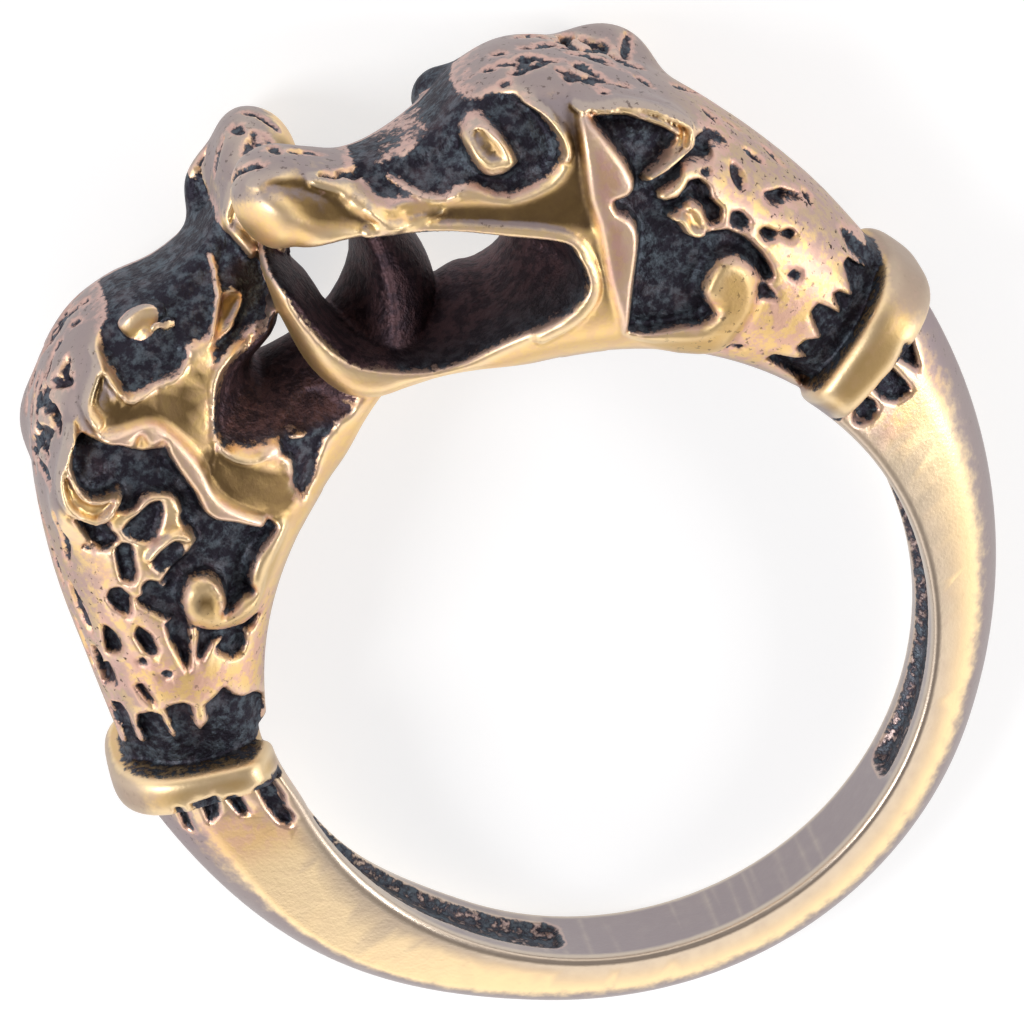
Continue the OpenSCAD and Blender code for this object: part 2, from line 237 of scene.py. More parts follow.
# The same of its far side
FAR_HOLLOWS = [
    (0.45, 0.4, [(6.2, 17.95), (5.8, 18.2), (5.1, 18.35), (4.5, 18.4), (3.8, 18.45), (3.3, 18.5),
        (2.9, 18.5), (2.5, 18.6), (2.2, 18.3), (2.04, 17.33), (1.99, 16.76), (1.52, 16.85),
        (1.6, 16.42), (1.7, 16.01), (2.06, 15.39), (2.87, 15.37), (3.42, 15.03), (4.04, 15.3),
        (4.2, 15.54), (3.53, 15.54), (2.86, 15.89), (2.76, 16.38), (3.3, 16.53), (3.66, 16.14),
        (4.19, 15.91), (4.59, 16.02), (4.84, 16.16), (5.08, 15.78), (5.46, 15.66), (6.14, 15.78),
        (6.81, 15.99), (7.01, 16.18), (6.94, 16.65), (6.96, 17.16), (6.86, 17.49), (6.61, 17.66),
        (6.34, 17.69)]),
    (0.45, 0.22, [(9.29, 15.5), (9.06, 15.74), (8.74, 15.82), (8.64, 15.69), (8.39, 15.4), (7.9, 15.04),
        (7.8, 14.71), (7.59, 14.44), (7.26, 14.26), (7.04, 14.11), (6.81, 14.34), (6.96, 14.01),
        (7.01, 13.54), (7.01, 13.11), (6.99, 12.51), (7.09, 11.94), (7.29, 12.06), (7.44, 12.49),
        (7.59, 12.89), (7.79, 13.06), (8.06, 13.26), (8.41, 13.29), (8.74, 13.14), (9.06, 13.24),
        (9.19, 13.46), (8.86, 13.62), (8.72, 13.75), (9.07, 13.96), (9.51, 14.26), (9.66, 14.64),
        (9.54, 15.17)]),
    (0.45, 0.22, [(7.51, 12.69), (6.99, 12.51), (7.09, 11.94), (6.99, 11.46), (6.56, 11.06),
        (5.99, 10.31), (5.79, 10.39), (5.69, 10.04), (6.31, 9.81), (6.67, 9.72), (7.09, 9.39),
        (7.28, 9.09), (7.33, 8.72), (7.67, 8.82), (8.06, 8.74), (8.39, 8.74), (8.04, 9.39),
        (8.01, 9.76), (8.04, 10.14), (8.29, 10.31), (8.59, 10.41), (8.96, 10.59), (9.41, 10.69),
        (8.86, 10.96), (8.19, 11.06), (7.76, 11.24), (7.71, 11.51), (7.8, 11.94), (7.76, 12.14),
        (7.59, 12.24)]),
    (0.4, 0.22, [(9.9, 10.91), (9.64, 10.99), (9.44, 10.79), (9.46, 10.49), (9.24, 10.64),
        (8.84, 10.79), (8.59, 10.41), (8.89, 10.24), (9.16, 9.96), (9.29, 9.64), (9.38, 9.14),
        (9.74, 8.64), (9.99, 8.16), (10.29, 7.81), (10.24, 8.26), (10.16, 8.94), (9.99, 9.49),
        (9.75, 9.54), (9.94, 9.79), (10.11, 10.14), (10.31, 10.49), (10.24, 10.66), (9.99, 10.66)]),
    (0.4, 0.22, [(9.35, 9.01), (9.19, 8.69), (8.74, 8.26), (8.21, 7.94), (7.68, 7.87), (8.01, 7.66),
        (8.3, 7.69), (8.47, 7.39), (8.78, 7.16), (9.06, 7.3), (9.24, 7.76), (9.19, 7.91), (8.89, 7.99),
        (9.19, 8.16), (9.56, 8.01), (9.79, 7.86), (9.81, 8.04), (9.34, 8.66)]),
    (0.35, 0.2, [(10.33, 14.04), (10.16, 13.86), (9.94, 13.46), (9.56, 13.29), (9.71, 12.96),
        (9.61, 12.68), (9.74, 12.46), (10.24, 12.54), (10.37, 12.84), (10.33, 13.61)]),
    (0.3, 0.2, [(9.39, 12.76), (9.04, 12.89), (8.56, 12.95), (8.24, 13.01), (7.96, 12.89),
        (8.09, 12.59), (8.39, 12.29), (8.74, 12.04), (9.01, 12.06), (9.27, 12.32)]),
    (0.2, 0.2, [(9.29, 11.49), (8.86, 11.66), (8.34, 11.64), (8.16, 11.46), (8.24, 11.14),
        (8.61, 11.01), (9.19, 11.04)]),
    (0.35, 0.2, [(9.88, 12.36), (9.61, 12.41), (9.42, 12.22), (9.62, 11.86), (9.79, 11.41),
        (10.01, 11.19), (10.28, 11.39), (10.14, 11.79)]),
    (0.35, 0.2, [(10.99, 11.04), (10.75, 11.26), (10.48, 11.21), (10.36, 10.81), (10.48, 10.59),
        (10.77, 10.28), (10.97, 10.66)]),
    (0.35, 0.2, [(11.58, 10.26), (11.44, 9.91), (11.49, 9.46), (11.68, 9.24), (11.99, 9.34),
        (11.85, 9.74)]),
    (0.35, 0.2, [(10.98, 9.59), (10.71, 9.86), (10.56, 9.44), (10.65, 8.94), (10.79, 8.81),
        (11.01, 9.06)]),
    (0.35, 0.2, [(12.42, 8.92), (12.2, 9.04), (12.27, 8.49), (12.41, 8.24), (12.58, 8.28)]),
    (0.3, 0.2, [(11.87, 8.14), (11.67, 8.09), (11.69, 7.41), (11.78, 7.29), (11.85, 7.61)]),
    (0.4, 0.2, [(13.78, 5.88), (14.3, 5.1), (14.1, 5.0), (13.75, 5.0), (13.16, 4.9), (12.51, 4.7),
        (12.04, 4.5), (11.51, 4.3), (10.86, 4.1), (10.29, 3.8), (9.9, 3.6), (9.4, 3.5), (9.3, 4.73),
        (9.15, 5.24), (9.22, 5.62), (9.56, 5.84), (9.72, 6.13), (9.76, 6.59), (10.04, 6.51),
        (10.54, 6.44), (10.71, 5.94), (11.1, 5.79), (11.14, 6.11), (10.86, 6.69), (11.01, 6.94),
        (11.32, 7.05), (11.56, 7.02), (11.7, 6.44), (11.84, 5.79), (11.92, 6.16), (11.79, 6.89),
        (12, 7.11), (12.36, 7.14), (12.62, 6.71), (12.67, 6.14), (12.94, 6.19), (12.84, 6.61),
        (12.68, 7.21), (12.71, 7.59), (12.93, 7.59), (13.12, 6.86), (13.28, 6.17)]),
    (0.12, 0.25, [(2.59, 17.13), (2.07, 16.84), (1.55, 16.87), (1.66, 16.48), (1.93, 15.86),
        (2.44, 15.05), (2.61, 15.2), (3.02, 15.23), (3.44, 15.14), (3.76, 15.19), (4.15, 15.18),
        (4.44, 15.19), (4.32, 15.46), (4.05, 15.41), (3.55, 15.54), (3.15, 15.69), (2.74, 15.91),
        (2.87, 16.43), (2.87, 16.78)]),
    (0.0, 0.3, [(-2.9, 13.2), (-2.2, 15.6), (-1.6, 16.6), (-0.9, 16.2), (-0.7, 14.9), (-0.2, 13.6),
        (0.6, 12.9), (1.6, 12.4), (1.2, 11.7), (-0.6, 11.4), (-2, 11.7), (-2.9, 12.4)]),
    (0.25, 0.25, [(4.21, 12.1), (4.23, 11.93), (4.34, 11.77), (4.2, 11.45), (4.3, 11.21), (4.46, 10.92),
        (4.59, 10.63), (4.62, 10.1), (4.31, 10.33), (4.02, 10.44), (3.64, 10.84), (3.34, 11.08),
        (3.06, 11.31), (2.71, 11.36), (2.51, 11.5), (2.06, 11.49), (1.84, 11.61), (2.11, 11.84),
        (2.39, 12.22), (2.84, 12.45), (3.54, 12.36), (3.94, 12.29)]),
]
# Blackened drops below the collars, of the near and the far side
DROPS = [
    [
        (0.3, 0.2, [(12.18, 3.77), (12.75, 4.19), (12.98, 3.65), (12.63, 2.49), (12.24, 3.48)]),
        (0.3, 0.2, [(11.22, 3.2), (11.56, 3.55), (11.91, 3.56), (12.09, 2.36), (12.08, 2.1),
            (11.59, 2.16), (11.26, 2.61)]),
        (0.3, 0.2, [(10.21, 2.61), (10.73, 3.21), (11.01, 2.62), (10.95, 2.34), (10.61, 2.26),
            (10.25, 2.4)]),
    ],
    [
        (0.3, 0.2, [(12.61, 4.12), (11.82, 3.94), (11.84, 3.65), (12.3, 2.74), (12.71, 2.55),
            (12.48, 3.49), (12.54, 3.84)]),
        (0.3, 0.2, [(11.64, 3.69), (11.36, 3.61), (11.49, 2.69), (11.54, 2.26), (11.76, 2.36),
            (11.81, 3.33)]),
        (0.3, 0.2, [(10.74, 3.44), (10.16, 3.3), (9.86, 3.12), (9.87, 3.02), (10.3, 3.07),
            (10.31, 2.29), (10.51, 1.91), (10.44, 1.49), (10.69, 1.26), (10.91, 1.51), (10.94, 2.14),
            (10.89, 2.56)]),
        (0.3, 0.2, [(13.04, 4.26), (12.89, 4.16), (13.27, 2.73), (13.32, 2.46), (13.43, 2.64),
            (13.11, 3.96)]),
    ],
]
# Raised lines of the near side: height, width, line as x, y
NEAR_RIDGES = [
    (0.16, 0.5, [(1.63, 16.61), (3.3, 15.5), (4.9, 14.4), (5.95, 13.55), (6.35, 12.9), (6.3, 12.0),
        (6.0, 11.4), (5.4, 11.1), (4.8, 11.0), (4.01, 11.0)]),
    (0.28, 0.26, [(7.4, 17.13), (7.71, 16.68), (7.79, 16.19), (7.79, 15.77), (7.61, 15.39),
        (7.44, 15.34)]),
    (0.3, 0.2, [(3.89, 17.68), (3.53, 17.52)]),
    (0.22, 0.22, [(2.9, 17.33), (3.16, 16.95), (3.44, 16.59), (3.81, 16.26), (4.24, 16.14)]),
    (0.16, 0.3, [(1.99, 17.17), (2.16, 16.56), (2.84, 16.16), (3.64, 15.89)]),
    (0.3, 0.3, [(8.56, 16.28), (9.24, 15.83), (9.81, 15.48), (10.43, 14.82), (10.96, 13.89),
        (10.89, 13.56), (10.55, 13.26), (9.94, 13.34), (9.35, 13.36), (9.08, 13.41)]),
    (0.2, 0.2, [(8.89, 15.83), (9.35, 15.56), (9.75, 15.27), (10.04, 14.88), (10.4, 14.4),
        (10.59, 13.91)]),
    (0.3, 0.25, [(9.09, 12.06), (9.33, 11.76), (9.32, 11.36), (9.54, 11.01)]),
    (0.2, 0.25, [(9.74, 12.01), (9.91, 11.56), (9.81, 11.11)]),
    (0.16, 0.32, [(5.74, 17.48), (6.01, 17.38), (6.15, 17.08), (6.2, 16.64), (6.09, 16.15),
        (5.84, 16.26), (5.58, 16.35), (5.44, 16.72), (5.43, 17.06), (5.48, 17.31), (5.74, 17.48)]),
    (-0.12, 0.16, [(-1.5, 15.7), (-1.47, 14.9), (-1.33, 14.15), (-1.08, 13.5), (-0.76, 13.0),
        (-0.31, 12.55), (0.15, 12.2), (0.9, 11.68)]),
    (0.1, 0.7, [(-0.36, 19.78), (0.24, 19.6), (0.72, 19.21), (1.14, 18.72), (1.42, 18.35),
        (1.52, 18.12)]),
    (0.14, 0.8, [(1.31, 18.78), (1.62, 18.43), (1.84, 18.11), (1.9, 17.76), (2, 17.39), (2.12, 16.91),
        (2.33, 16.51)]),
]
# The same of the far side
FAR_RIDGES = [
    (0.12, 0.22, [(2.49, 15.05), (2.79, 15.14), (3.11, 15.17), (3.47, 15.11), (3.74, 15.12),
        (4.06, 15.04), (4.43, 14.96), (4.79, 14.71), (5.1, 14.29), (5.42, 13.81), (5.62, 13.44),
        (5.65, 13.02), (5.4, 12.49), (5.07, 12.2), (4.67, 12.05)]),
    (0.22, 0.22, [(7.21, 17.43), (7.14, 17.11), (7.19, 16.63), (7.08, 16.12), (6.91, 15.88),
        (6.14, 15.78), (5.54, 15.61), (5.12, 15.76)]),
    (0.19, 0.25, [(2.97, 17.29), (3.04, 17.06), (3.22, 16.74), (3.33, 16.48), (3.64, 16.21),
        (3.98, 15.86)]),
    (0.19, 0.4, [(1.23, 18.68), (1.86, 18.22), (2.12, 17.89), (2.06, 17.73), (1.89, 17.22),
        (1.83, 16.73)]),
    (0.25, 0.4, [(7.29, 17.12), (7.71, 16.85), (8.14, 16.48), (8.16, 15.97)]),
    (0.3, 0.3, [(8.91, 16.12), (9.45, 15.73), (9.83, 15.37), (10.09, 15.02), (10.25, 14.51),
        (10.14, 13.94), (9.89, 13.56), (9.44, 13.48), (9.01, 13.66), (8.84, 13.84)]),
    (0.22, 0.2, [(8.97, 15.97), (9.35, 15.65), (9.62, 15.28), (9.71, 14.66), (9.56, 14.19),
        (9.21, 13.96), (8.96, 13.91)]),
    (0.25, 0.3, [(9.16, 11.64), (8.61, 11.79), (8.21, 11.81), (7.91, 11.51)]),
    (0.2, 0.25, [(8.04, 9.94), (8.06, 9.49), (8.26, 8.98)]),
]
# Raised and polished places of the near side, cheek and eye: height, slope of the edge, outline
NEAR_RAISED = [
    (0.26, 0.3, [(8.53, 16.15), (8.16, 15.55), (7.81, 14.79), (7.41, 13.94), (7.24, 13.16),
        (6.91, 12.31), (6.54, 11.36), (6.26, 10.36), (6.08, 9.67), (6.54, 10.17), (7.11, 10.96),
        (7.74, 11.71), (8.09, 12.26), (8.11, 12.74), (7.94, 13.14), (7.96, 13.49), (8.44, 13.36),
        (8.79, 13.64), (8.86, 14.16), (8.84, 14.76), (8.79, 15.37), (8.74, 15.89)]),
    (-0.02, 0.3, [(5.84, 17.55), (6.06, 17.43), (6.21, 17.22), (6.34, 16.79), (6.36, 16.31),
        (6.33, 15.98), (6.04, 15.86), (5.76, 15.84), (5.48, 15.94), (5.29, 16.09), (5.2, 16.43),
        (5.2, 16.76), (5.23, 17), (5.29, 17.27), (5.58, 17.49)]),
    (-0.45, 0.2, [(3.31, 17.61), (3.79, 17.5), (4.71, 17.68), (4.14, 17.66), (3.04, 17.75),
        (2.58, 17.8)]),
    (0.34, 0.62, [(6.24, 9.48), (6.97, 7.72), (8.01, 7.29), (8.76, 7.62), (9.57, 8.04), (10.04, 8.62),
        (10.2, 9.24), (9.95, 9.82), (9.52, 10.02), (8.97, 9.79), (8.68, 9.5), (8.69, 9.24),
        (8.84, 8.81), (8.74, 8.76), (8.12, 8.48), (7.25, 8.78), (6.56, 9.25)]),
]
# The same of the far side
FAR_RAISED = [
    (0.26, 0.3, [(8.25, 16.47), (8.34, 16.02), (8.19, 15.66), (7.61, 15.41), (7.04, 15.21),
        (6.68, 14.91), (6.55, 14.42), (6.44, 13.96), (6.38, 13.41), (6.39, 12.84), (6.49, 12.39),
        (6.49, 11.99), (6.29, 11.46), (6.04, 10.99), (5.81, 10.59), (5.96, 10.36), (6.18, 10.56),
        (6.56, 11.09), (6.94, 11.51), (7.09, 11.94), (6.99, 12.51), (7.01, 13.11), (7.01, 13.54),
        (6.99, 14.04), (6.88, 14.41), (7.26, 14.49), (7.26, 14.91), (7.41, 14.96), (7.71, 14.81),
        (8, 15.14), (8.31, 15.49)]),
    (-0.4, 0.2, [(3.3, 16.53), (2.72, 16.09), (3.16, 15.84), (3.72, 15.64), (4.06, 15.74),
        (3.66, 16.14)]),
    (0.34, 0.62, [(7.49, 8.22), (7.84, 8.19), (8.21, 8.31), (8.64, 8.49), (8.96, 8.74), (9.16, 9.09),
        (9.27, 9.31), (9.22, 9.69), (9.1, 9.97), (8.92, 10.15), (8.71, 10.23), (8.49, 10.22),
        (8.27, 10.14), (8.12, 10.03), (8, 9.84), (8.01, 9.54), (8.16, 9.24), (8.44, 8.72), (8.19, 8.7),
        (7.84, 8.69), (7.49, 8.66), (7.32, 8.75), (7.24, 8.96), (7.29, 9.05), (7.03, 9.39),
        (6.71, 9.67), (6.29, 9.83), (6.01, 9.93), (5.71, 10), (5.46, 10.06), (5.4, 9.83), (6.13, 9.2),
        (6.62, 8.82), (7.07, 8.53)]),
    (0.06, 0.2, [(3.86, 12.16), (3.64, 12.1), (3.46, 11.8), (3.56, 11.75), (3.87, 11.93),
        (3.93, 12.07)]),
    (0.06, 0.2, [(4.38, 11.75), (4.3, 11.72), (4.18, 11.43), (4.32, 11.25), (4.43, 11.02), (4.5, 11.3),
        (4.44, 11.61)]),
    (0.06, 0.2, [(4.7, 12.3), (4.39, 12.22), (4.28, 11.99), (4.4, 11.83), (4.54, 11.76), (4.76, 12.02),
        (4.83, 12.19)]),
]
# Dents and plates of the near side, which take a painted olive reflection of the dark surroundings:
# height, slope of the edge, outline
NEAR_DENTS = [
    (-0.2, 0.2, [(5.92, 17.31), (6.02, 17.14), (6.03, 16.86), (6.03, 16.52), (5.86, 16.37),
        (5.7, 16.48), (5.61, 16.83), (5.54, 17.19), (5.7, 17.27)]),
    (-0.22, 0.8, [(-0.05, 19.37), (0.37, 19.29), (0.75, 19.09), (1.1, 18.71), (1.36, 18.33),
        (1.53, 18.01), (1.51, 17.56), (1.66, 17.09), (1.82, 16.77), (1.46, 17.06), (0.94, 17.46),
        (0.54, 17.79), (0.36, 18.11), (0.28, 18.47), (0.21, 18.76), (0.1, 19.09)]),
    (-0.1, 0.35, [(7.81, 16.95), (8.64, 16.41), (8.46, 15.95), (7.71, 14.48), (7.07, 13.06),
        (6.61, 13.36), (5.79, 13.99), (4.37, 14.96), (3.47, 15.66), (3.21, 16.15), (3.96, 15.89),
        (4.71, 15.46), (5.41, 14.99), (6.29, 14.76), (7.11, 14.79), (7.75, 15.26), (7.99, 15.97),
        (7.94, 16.58)]),
]
# The same of the far side
FAR_DENTS = [
    (0, 0.3, [(7.39, 17.05), (7.28, 16.67), (7.23, 16.18), (6.93, 15.82), (6.19, 15.56), (5.49, 15.41),
        (4.98, 15.39), (4.79, 15.24), (4.99, 14.86), (5.42, 14.43), (5.77, 13.92), (6.12, 13.78),
        (6.38, 14.46), (6.7, 15), (7.23, 15.35), (7.7, 15.52), (7.94, 15.7), (7.88, 16.13),
        (7.92, 16.63), (7.8, 16.82)]),
    (0, 0.3, [(3.27, 16.47), (2.84, 16.02), (3.25, 15.61), (3.74, 15.83), (3.66, 16.21)]),
    (-0.05, 0.4, [(5.79, 13.36), (5.55, 12.59), (4.96, 11.73), (4.42, 11.13), (4.52, 10.49),
        (4.88, 10.2), (5.41, 10.56), (5.73, 11.11), (5.92, 11.71), (5.92, 12.63)]),
    (-0.1, 0.3, [(8.45, 9.9), (8.85, 9.8), (9.0, 9.45), (8.8, 9.15), (8.5, 9.2), (8.3, 9.55)]),
    (-0.02, 0.3, [(5.73, 13.17), (5.08, 11.77), (4.72, 10.36), (5.51, 10.19), (6.1, 11.13),
        (6.54, 12.26), (6.4, 13.31)]),
]
# Small chased pits of the near side and the crest: both ends as x, y, z, half width
NEAR_PITS = [
    (7.28, 17.78, 0.03, 7.52, 17.71, 0.31, 0.07), (7.26, 17.77, 1.04, 7.67, 17.62, 1.26, 0.07),
    (7.48, 17.63, 1.79, 7.75, 17.49, 1.91, 0.07), (7.79, 17.59, 1.01, 8.3, 17.29, 0.89, 0.08),
    (8.24, 17.32, 1.04, 8.67, 16.98, 1.21, 0.07), (9.1, 16.59, 1.26, 9.38, 16.31, 1.16, 0.07),
    (8.72, 16.73, 2.14, 8.87, 16.56, 2.22, 0.08), (9.19, 16.33, 1.96, 9.61, 15.88, 1.92, 0.07),
    (10.41, 15.02, 0.81, 10.59, 14.68, 1.11, 0.07), (8.26, 17.07, -1.77, 8.75, 16.86, -1.17, 0.07),
    (9.56, 16.17, 0.46, 9.94, 15.7, 0.59, 0.07), (8.95, 16.72, -0.99, 9.36, 16.35, -0.74, 0.14),
    (9.6, 15.99, -1.86, 9.93, 15.7, -0.64, 0.14), (9.97, 15.58, -1.21, 10.2, 15.36, -0.09, 0.09),
    (9.88, 15.56, 1.99, 10.06, 15.36, 1.89, 0.07), (9.36, 15.92, 2.69, 9.47, 15.83, 2.68, 0.07),
    (6.84, 17.86, 0.99, 7.01, 17.82, 1.19, 0.07), (7.09, 17.67, 2.19, 7.24, 17.6, 2.3, 0.07),
    (11.54, 12.98, 0.76, 11.65, 12.62, 1.19, 0.1), (11.87, 12.26, 0.61, 12.04, 11.86, 0.64, 0.07),
    (11.93, 11.61, 1.76, 12.14, 11.04, 1.74, 0.1), (12.4, 10.9, 0.67, 12.55, 10.31, 1.06, 0.1),
    (11.4, 11.77, 2.67, 11.27, 11.2, 3.03, 0.14), (12.72, 9.41, 1.51, 12.69, 9.08, 1.83, 0.11),
    (11.06, 8.16, 3.36, 11.27, 7.96, 3.28, 0.08), (10.57, 12.41, 3.34, 10.73, 12.26, 3.25, 0.07),
    (8.52, 7.03, 3.13, 8.66, 6.92, 3.13, 0.07), (8.3, 7.34, 3.21, 8.47, 7.22, 3.22, 0.07),
    (9.01, 16.7, -0.66, 9.48, 16.22, -0.46, 0.12), (9.47, 16.2, -0.41, 10.17, 15.31, -0.88, 0.11),
    (9.74, 15.8, -1.74, 9.91, 15.41, -1.46, 0.1), (10.12, 15.34, -0.94, 10.32, 15.09, -0.28, 0.1),
    (8.3, 16.98, -1.86, 8.7, 16.94, -0.98, 0.07),
]
# The same of the far side
FAR_PITS = [
    (11.89, 11.63, -1.89, 12.26, 10.19, -2.14, 0.12), (11.24, 13.86, -0.01, 11.6, 12.99, -0.99, 0.07),
    (10.83, 14.14, -2.88, 11.47, 12.41, -2.05, 0.07), (11.77, 12.56, -1.16, 12.14, 11.64, -1.29, 0.07),
    (12.58, 10.39, -1.34, 13.08, 8.79, -1.19, 0.07), (12.54, 9.54, -2, 12.92, 8.39, -1.82, 0.09),
    (10.34, 15.26, 0.01, 10.7, 14.7, -0.51, 0.07), (10.4, 15.06, -0.89, 10.43, 14.84, -2.54, 0.07),
    (9.98, 15.54, -1.06, 9.93, 15.36, -1.73, 0.07), (9.98, 15.72, 0.21, 9.13, 16.6, 0.39, 0.07),
    (9.16, 16.42, -1.04, 9.12, 16.26, -1.56, 0.09), (9.03, 16.37, -1.5, 9.18, 15.94, -2.13, 0.15),
    (11.37, 8.84, -3.09, 11.24, 8.76, -3.14, 0.07), (10.51, 12.79, -2.95, 10.36, 12.71, -3.03, 0.07),
    (8.4, 17.13, 1.34, 7.77, 17.42, 1.76, 0.07), (8.19, 17.29, 0.94, 7.64, 17.5, 1.56, 0.07),
    (9.39, 16.24, 2.26, 8.65, 16.89, 1.74, 0.07), (8.83, 16.81, -0.41, 8.42, 17.15, 0.09, 0.08),
    (8.46, 16.84, -1.44, 8.01, 17.25, -1.01, 0.16), (9.7, 16.01, -0.31, 8.95, 16.74, -0.09, 0.07),
    (9.32, 16.23, -1.14, 9.06, 16.44, -1.25, 0.09), (9.07, 16.39, -1.36, 9.17, 15.91, -2.22, 0.14),
    (8.29, 17.23, 0.09, 8.01, 17.38, 0.09, 0.07), (9.58, 16.11, 1.64, 9.13, 16.54, 1.39, 0.07),
    (12.54, 9.49, -2.04, 12.96, 8.36, -1.74, 0.08), (12.6, 10.31, -1.37, 13.07, 8.86, -1.16, 0.07),
    (13.32, 7.39, -1.16, 13.4, 6.72, -1.16, 0.07), (10.96, 8.14, -3.23, 10.81, 8.04, -3.26, 0.08),
    (1.66, 18.91, 3.23, 2.05, 18.59, 3.01, 0.14), (2.08, 18.61, 3.05, 2.3, 17.98, 2.56, 0.2),
    (2.22, 18.08, 2.43, 2.64, 17.69, 2.56, 0.18), (0.74, 19.09, 1.74, 1.04, 18.84, 1.46, 0.07),
    (1.03, 18.86, 1.51, 1.4, 18.54, 1.54, 0.06), (-0.01, 19.38, 2.59, -0.49, 19.37, 2.19, 0.08),
    (-0.46, 19.37, 2.21, -0.94, 19.05, 1.48, 0.08), (0.42, 19.27, 1.94, 0.29, 19.24, 1.26, 0.1),
    (0.24, 19.68, -0.96, -0.06, 19.1, 0.63, 0.08), (-0.15, 19.5, -0.64, -0.44, 19.06, 0.68, 0.1),
]


def spread(points, steps=5, closed=False):
    """Points of a smooth line through points, with so many steps from each to the next."""
    p = np.asarray(points, float)
    n = len(p)
    at = (lambda i: p[i % n]) if closed else (lambda i: p[min(max(i, 0), n - 1)])
    line = []
    for i in range(n if closed else n - 1):
        a, b, c, d = at(i - 1), at(i), at(i + 1), at(i + 2)
        for t in np.arange(steps) / steps:
            bend = 2 * a - 5 * b + 4 * c - d + t * (3 * (b - c) + d - a)
            line.append(b + t / 2 * (c - a + t * bend))
    return np.array(line if closed else line + [p[-1]])


def places(table, column=1):
    """Places seen along the finger for rows of angle and radius."""
    t = np.asarray(table, float)
    a = np.radians(t[:, 0])
    return np.stack([t[:, column] * np.sin(a), t[:, column] * np.cos(a)], axis=1)


def eased(table, at, column=1):
    """A column of a table at places between its first column's values, eased from row to row."""
    t = spread(sorted(table), 4)
    return np.interp(at, t[:, 0], t[:, column])


def line_distance(x, y, line, closed=False):
    """Distance from every place of a flat grid to a line."""
    ends = np.roll(line, -1, axis=0) if closed else line[1:]
    best = np.full(np.broadcast(x, y).shape, 1e9, np.float32)
    for (ax, ay), (bx, by) in zip(line, ends):
        ex, ey = bx - ax, by - ay
        t = np.clip(((x - ax) * ex + (y - ay) * ey) / max(ex * ex + ey * ey, 1e-9), 0, 1)
        np.minimum(best, (x - ax - t * ex) ** 2 + (y - ay - t * ey) ** 2, out=best)
    return np.sqrt(best)


def within(x, y, outline):
    """Whether every place of a flat grid is within a closed outline."""
    inside = np.zeros(np.broadcast(x, y).shape, bool)
    for (ax, ay), (bx, by) in zip(outline, np.roll(outline, -1, axis=0)):
        if ay != by:
            inside ^= ((ay > y) != (by > y)) & (x < (bx - ax) * (y - ay) / (by - ay) + ax)
    return inside


def depth_in(x, y, outline):
    """Distance to a closed outline, positive within it."""
    far = line_distance(x, y, outline, closed=True)
    return np.where(within(x, y, outline), far, -far)


def rounded(edges, v, half, power):
    """Signed distance to a slab of half thickness half, of which v is the share reached, whose
    edges are rounded over. edges holds a depth within each edge and the radius of its rounding."""
    total = v**power
    slope = (v ** (power - 1) / half) ** 2
    for depth, radius in edges:
        u = np.maximum(1 - depth / radius, 0)
        total = total + u**power
        slope = slope + (u ** (power - 1) / radius) ** 2
    total = np.maximum(total, 1e-6)
    reach = total ** (1 / power)
    return (reach - 1) * reach ** (power - 1) / np.sqrt(np.maximum(slope, 1e-6))


def joined(a, b, blend):
    """Union of two signed distances with a fillet."""
    h = np.maximum(blend - np.abs(a - b), 0) / blend
    return np.minimum(a, b) - h * h * blend / 4


def trimmed(a, b, blend):
    """What two signed distances share, with a rounded edge."""
    return -joined(-a, -b, blend)


def smoothstep(low, high, v):
    """0 at low and 1 at high, eased between them; low may be the higher."""
    t = np.clip((v - low) / (high - low), 0, 1)
    return t * t * (3 - 2 * t)


NEAR_TABLES = NEAR_HOLLOWS, NEAR_RAISED, NEAR_RIDGES, NEAR_DENTS
FAR_TABLES = FAR_HOLLOWS, FAR_RAISED, FAR_RIDGES, FAR_DENTS
BOTH = FAR_TABLES, NEAR_TABLES


def window(values, low, high):
    """Part of an axis that reaches from low to high."""
    return slice(int(np.searchsorted(values, low)), int(np.searchsorted(values, high)) + 1)


def upright(flat):
    """A flat grid's values, ready to meet places along the finger."""
    return flat[..., None].astype(np.float32)


def chased(xs, ys, hollows, raised, ridges, dents, carving):
    """Height of a side's chasing over its plain face, and how far each place is within a blackening."""
    height = np.zeros((len(xs), len(ys)), np.float32)
    stain = np.full_like(height, -1.0)

    def near(line, reach=0.5):
        """Part of the grid round a line, with its places."""
        low, high = line.min(axis=0) - reach, line.max(axis=0) + reach
        w = window(xs, low[0], high[0]), window(ys, low[1], high[1])
        return w, xs[w[0], None], ys[None, w[1]]

    for depth, slope, outline in hollows:
        line = np.array(outline)
        w, x, y = near(line)
        inner = depth_in(x, y, line)
        height[w] = np.minimum(height[w], -depth * smoothstep(-slope / 2, slope / 2, inner))
        stain[w] = np.maximum(stain[w], inner)
    for rise, slope, outline in dents:
        line = spread(outline, 2, closed=True)
        w, x, y = near(line)
        height[w] += rise * smoothstep(-slope / 2, slope / 2, depth_in(x, y, line))
    for rise, slope, outline in raised:
        line = spread(outline, 2, closed=True)
        w, x, y = near(line)
        inner = depth_in(x, y, line)
        height[w] += (rise - height[w]) * smoothstep(-slope / 2, slope / 2, inner)
        stain[w] = np.minimum(stain[w], -inner)
    for rise, wide, points in ridges:
        line = spread(points, 3)
        w, x, y = near(line)
        off = line_distance(x, y, line)
        height[w] += rise * np.sqrt(np.maximum(1 - (2 * off / wide) ** 2, 0))
        if rise > 0:
            stain[w] = np.minimum(stain[w], off - wide * LINE_BARE)
        else:
            stain[w] = np.maximum(stain[w], wide * LINE_BLACK - off)
    return height * carving, stain


